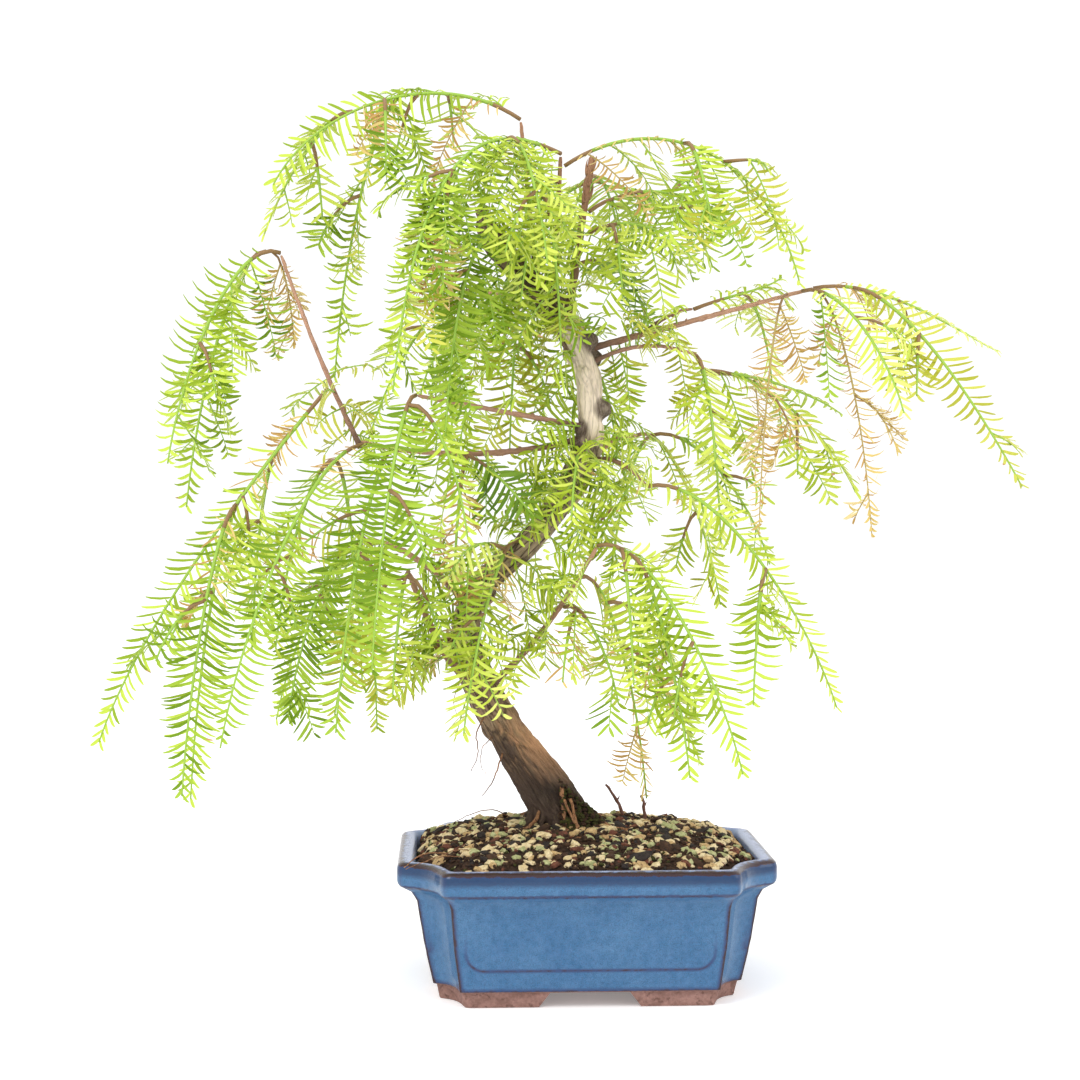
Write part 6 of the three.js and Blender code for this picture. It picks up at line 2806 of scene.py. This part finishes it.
    def pairs(self, spray: Spray, random: SeededNumbers) -> dict[str, np.ndarray]:
        """Works out the pairs of needles of a spray.

        Args:
            spray: The spray.
            random: The mass's own numbers.

        Returns:
            What Needles.add takes: an array for each of a needle's measures.
        """
        path, habit, loose = spray.path, spray.habit, spray.habit.loose
        pitch = habit.pitch * random.between(*self.pitches)
        more_lean, more_curl = random.between(*self.leans), random.between(*self.curls)
        size, wave = random.between(*self.sizes), random() * 6
        pairs = max(3, int(path.length * (1 - spray.bare) / pitch))
        share = np.repeat(spray.bare + (1 - spray.bare) * (np.arange(pairs) + 0.5) / pairs, 2)
        side = np.tile([-1.0, 1.0], pairs)
        chance = np.array([[random() for _ in range(10)] for _ in share]).T
        centred = chance - 0.5
        step = pitch / path.length
        stagger, by_chance = self.uneven
        share = np.clip(share + side * stagger * step + centred[0] * by_chance * step, 0, 1)
        along = path.tangent(share)
        swing, waves = self.swing
        turn = spray.twist + swing * np.sin(wave + share * waves) + centred[1] * loose * 2
        across = unit(np.cross(spray.facing[None, :], along))
        across, flat = turned(across, np.cross(along, across), turn)
        dry = (share > spray.withered[0]) & (share < spray.withered[1]) & (chance[9] < self.withered_needles)
        close = np.clip((share - self.outer_from) / (1 - self.outer_from), 0, 1)
        lean = np.radians(habit.lean + more_lean + self.outer_lean * close**2 + centred[2] * 60 * loose)
        lift = np.radians(habit.lift + centred[3] * 120 * loose)
        out, _ = turned(across * side[:, None], along, lean)
        out = unit(turned(out, flat, lift)[0])
        wide = unit(np.cross(flat, out))
        wide = unit(turned(wide, np.cross(out, wide), centred[4] * (0.7 + 2 * loose))[0])
        opening = np.minimum(1, 0.6 + 2.2 * (share - spray.bare))
        closing = 1 - self.outer_shrink * close**1.7
        length = habit.length * size * opening * closing * (0.84 + 0.28 * chance[5]) * np.where(dry, 0.8, 1)
        curl = habit.curl + more_curl + centred[6] * (0.5 * loose + np.where(dry, 1.2, 0.1))
        # Painted light: the light and full shades act as lit and shaded copies, by the side a needle points
        # to; near the tip they give the paler young growth.
        sunny, shady, tip = self.light_side
        lit = np.where(share > 0.8, tip, np.where(out[:, 0] > 0, sunny, shady))
        shade = np.where(chance[8] < lit, 0, 1)
        tip_from, more_rust = self.rusty_tip
        rust = (chance[0] * 7.31 % 1 < habit.rust + more_rust * (share > tip_from)).astype(int)
        least, varied, level = self.droops
        droop = length * (least + varied * chance[7] + level * (1 - np.abs(along[:, 2])))
        return {
            "foot": path.point(share) + out * 0.2, "out": out, "side": wide, "bend": along * curl[:, None],
            "droop": droop, "length": length,
            "width": habit.width * (0.85 + 0.3 * chance[2]) * np.where(dry, 0.6, 1),
            "tint": np.where(dry, first_shade(STRAW), first_shade(spray.tint)) + shade,
            "rust": rust * (1 + (chance[1] < 0.4)),
        }


# ---- Studio ----


@dataclass
class Studio:
    """A plain white floor, soft light and the camera at the front of the pot."""

    camera: Triple = (-65, -1015, 242)
    bearing: float = 2.5
    lens: float = 68.8
    shift: float = -55 / 1080

    def floor(self) -> None:
        """Lays the floor and marks it as no part of the plant."""
        deselect()
        bpy.ops.mesh.primitive_plane_add(size=8, location=(0, 1.5, -0.0002))
        floor = bpy.context.object
        floor.name = "floor"
        material = bpy.data.materials.new("white_paper")
        material.use_nodes = True
        surface = material.node_tree.nodes["Principled BSDF"]
        surface.inputs["Base Color"].default_value = (0.94, 0.94, 0.95, 1)
        surface.inputs["Roughness"].default_value = 0.9
        surface.inputs["Specular IOR Level"].default_value = 0.1
        surface.inputs["Emission Color"].default_value = (1, 1, 1, 1)
        surface.inputs["Emission Strength"].default_value = 0.2
        floor.data.materials.append(material)
        floor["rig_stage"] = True

    def area(self, name: str, place: Triple, aim: Triple, size: float, power: float) -> None:
        """Hangs one soft square light.

        Args:
            name: The light's name.
            place: Where it hangs, in metres.
            aim: The point it looks at.
            size: The length of its side.
            power: Its power in watts.
        """
        data = bpy.data.lights.new(name, "AREA")
        data.shape, data.size, data.energy = "SQUARE", size, power
        lamp = bpy.data.objects.new(name, data)
        bpy.context.scene.collection.objects.link(lamp)
        lamp.location = place
        lamp.rotation_mode = "QUATERNION"
        lamp.rotation_quaternion = (Vector(aim) - Vector(place)).to_track_quat("-Z", "Y")

    def lights(self) -> None:
        """Lights the plant from a white surround and two soft lamps."""
        world = bpy.data.worlds.new("white_surround")
        bpy.context.scene.world = world
        world.use_nodes = True
        background = world.node_tree.nodes["Background"]
        background.inputs[0].default_value = (1, 1, 1, 1)
        background.inputs[1].default_value = 1.1
        self.area("key_light", (-0.9, -1.1, 1.5), (0, 0, 0.22), 0.9, 16)
        self.area("fill_light", (1.3, -0.7, 0.9), (0, 0, 0.22), 1.0, 6)
        view = bpy.context.scene.view_settings
        view.view_transform, view.look = "Standard", "None"

    def build(self) -> None:
        """Sets up the floor, the lights and the camera."""
        self.floor()
        self.lights()
        self.stand_camera()

    def stand_camera(self) -> None:
        """Stands the camera level, with the frame lowered as a view camera's is."""
        data = bpy.data.cameras.new("camera")
        data.lens, data.sensor_width, data.sensor_fit = self.lens, 36.0, "HORIZONTAL"
        data.shift_y = self.shift
        data.clip_start, data.clip_end = 0.05, 50
        camera = bpy.data.objects.new("camera", data)
        bpy.context.scene.collection.objects.link(camera)
        camera.location = PLACE.out(np.array(self.camera, float))
        turn = math.radians(self.bearing)
        camera.rotation_mode = "QUATERNION"
        camera.rotation_quaternion = Vector((math.sin(turn), math.cos(turn), 0)).to_track_quat("-Z", "Y")
        bpy.context.scene.camera = camera


def main() -> None:
    """Loads the solids and dresses the plant around them."""
    logging.basicConfig(level=logging.INFO, format="%(message)s", stream=sys.stdout)
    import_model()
    PLACE.read()
    growth = Growth()
    for part in (Pot(), Ground(), Foliage(growth), Trunk(growth), Boughs(growth), Deadwood(), Studio()):
        part.build()
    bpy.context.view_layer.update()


if __name__ == "__main__":
    main()
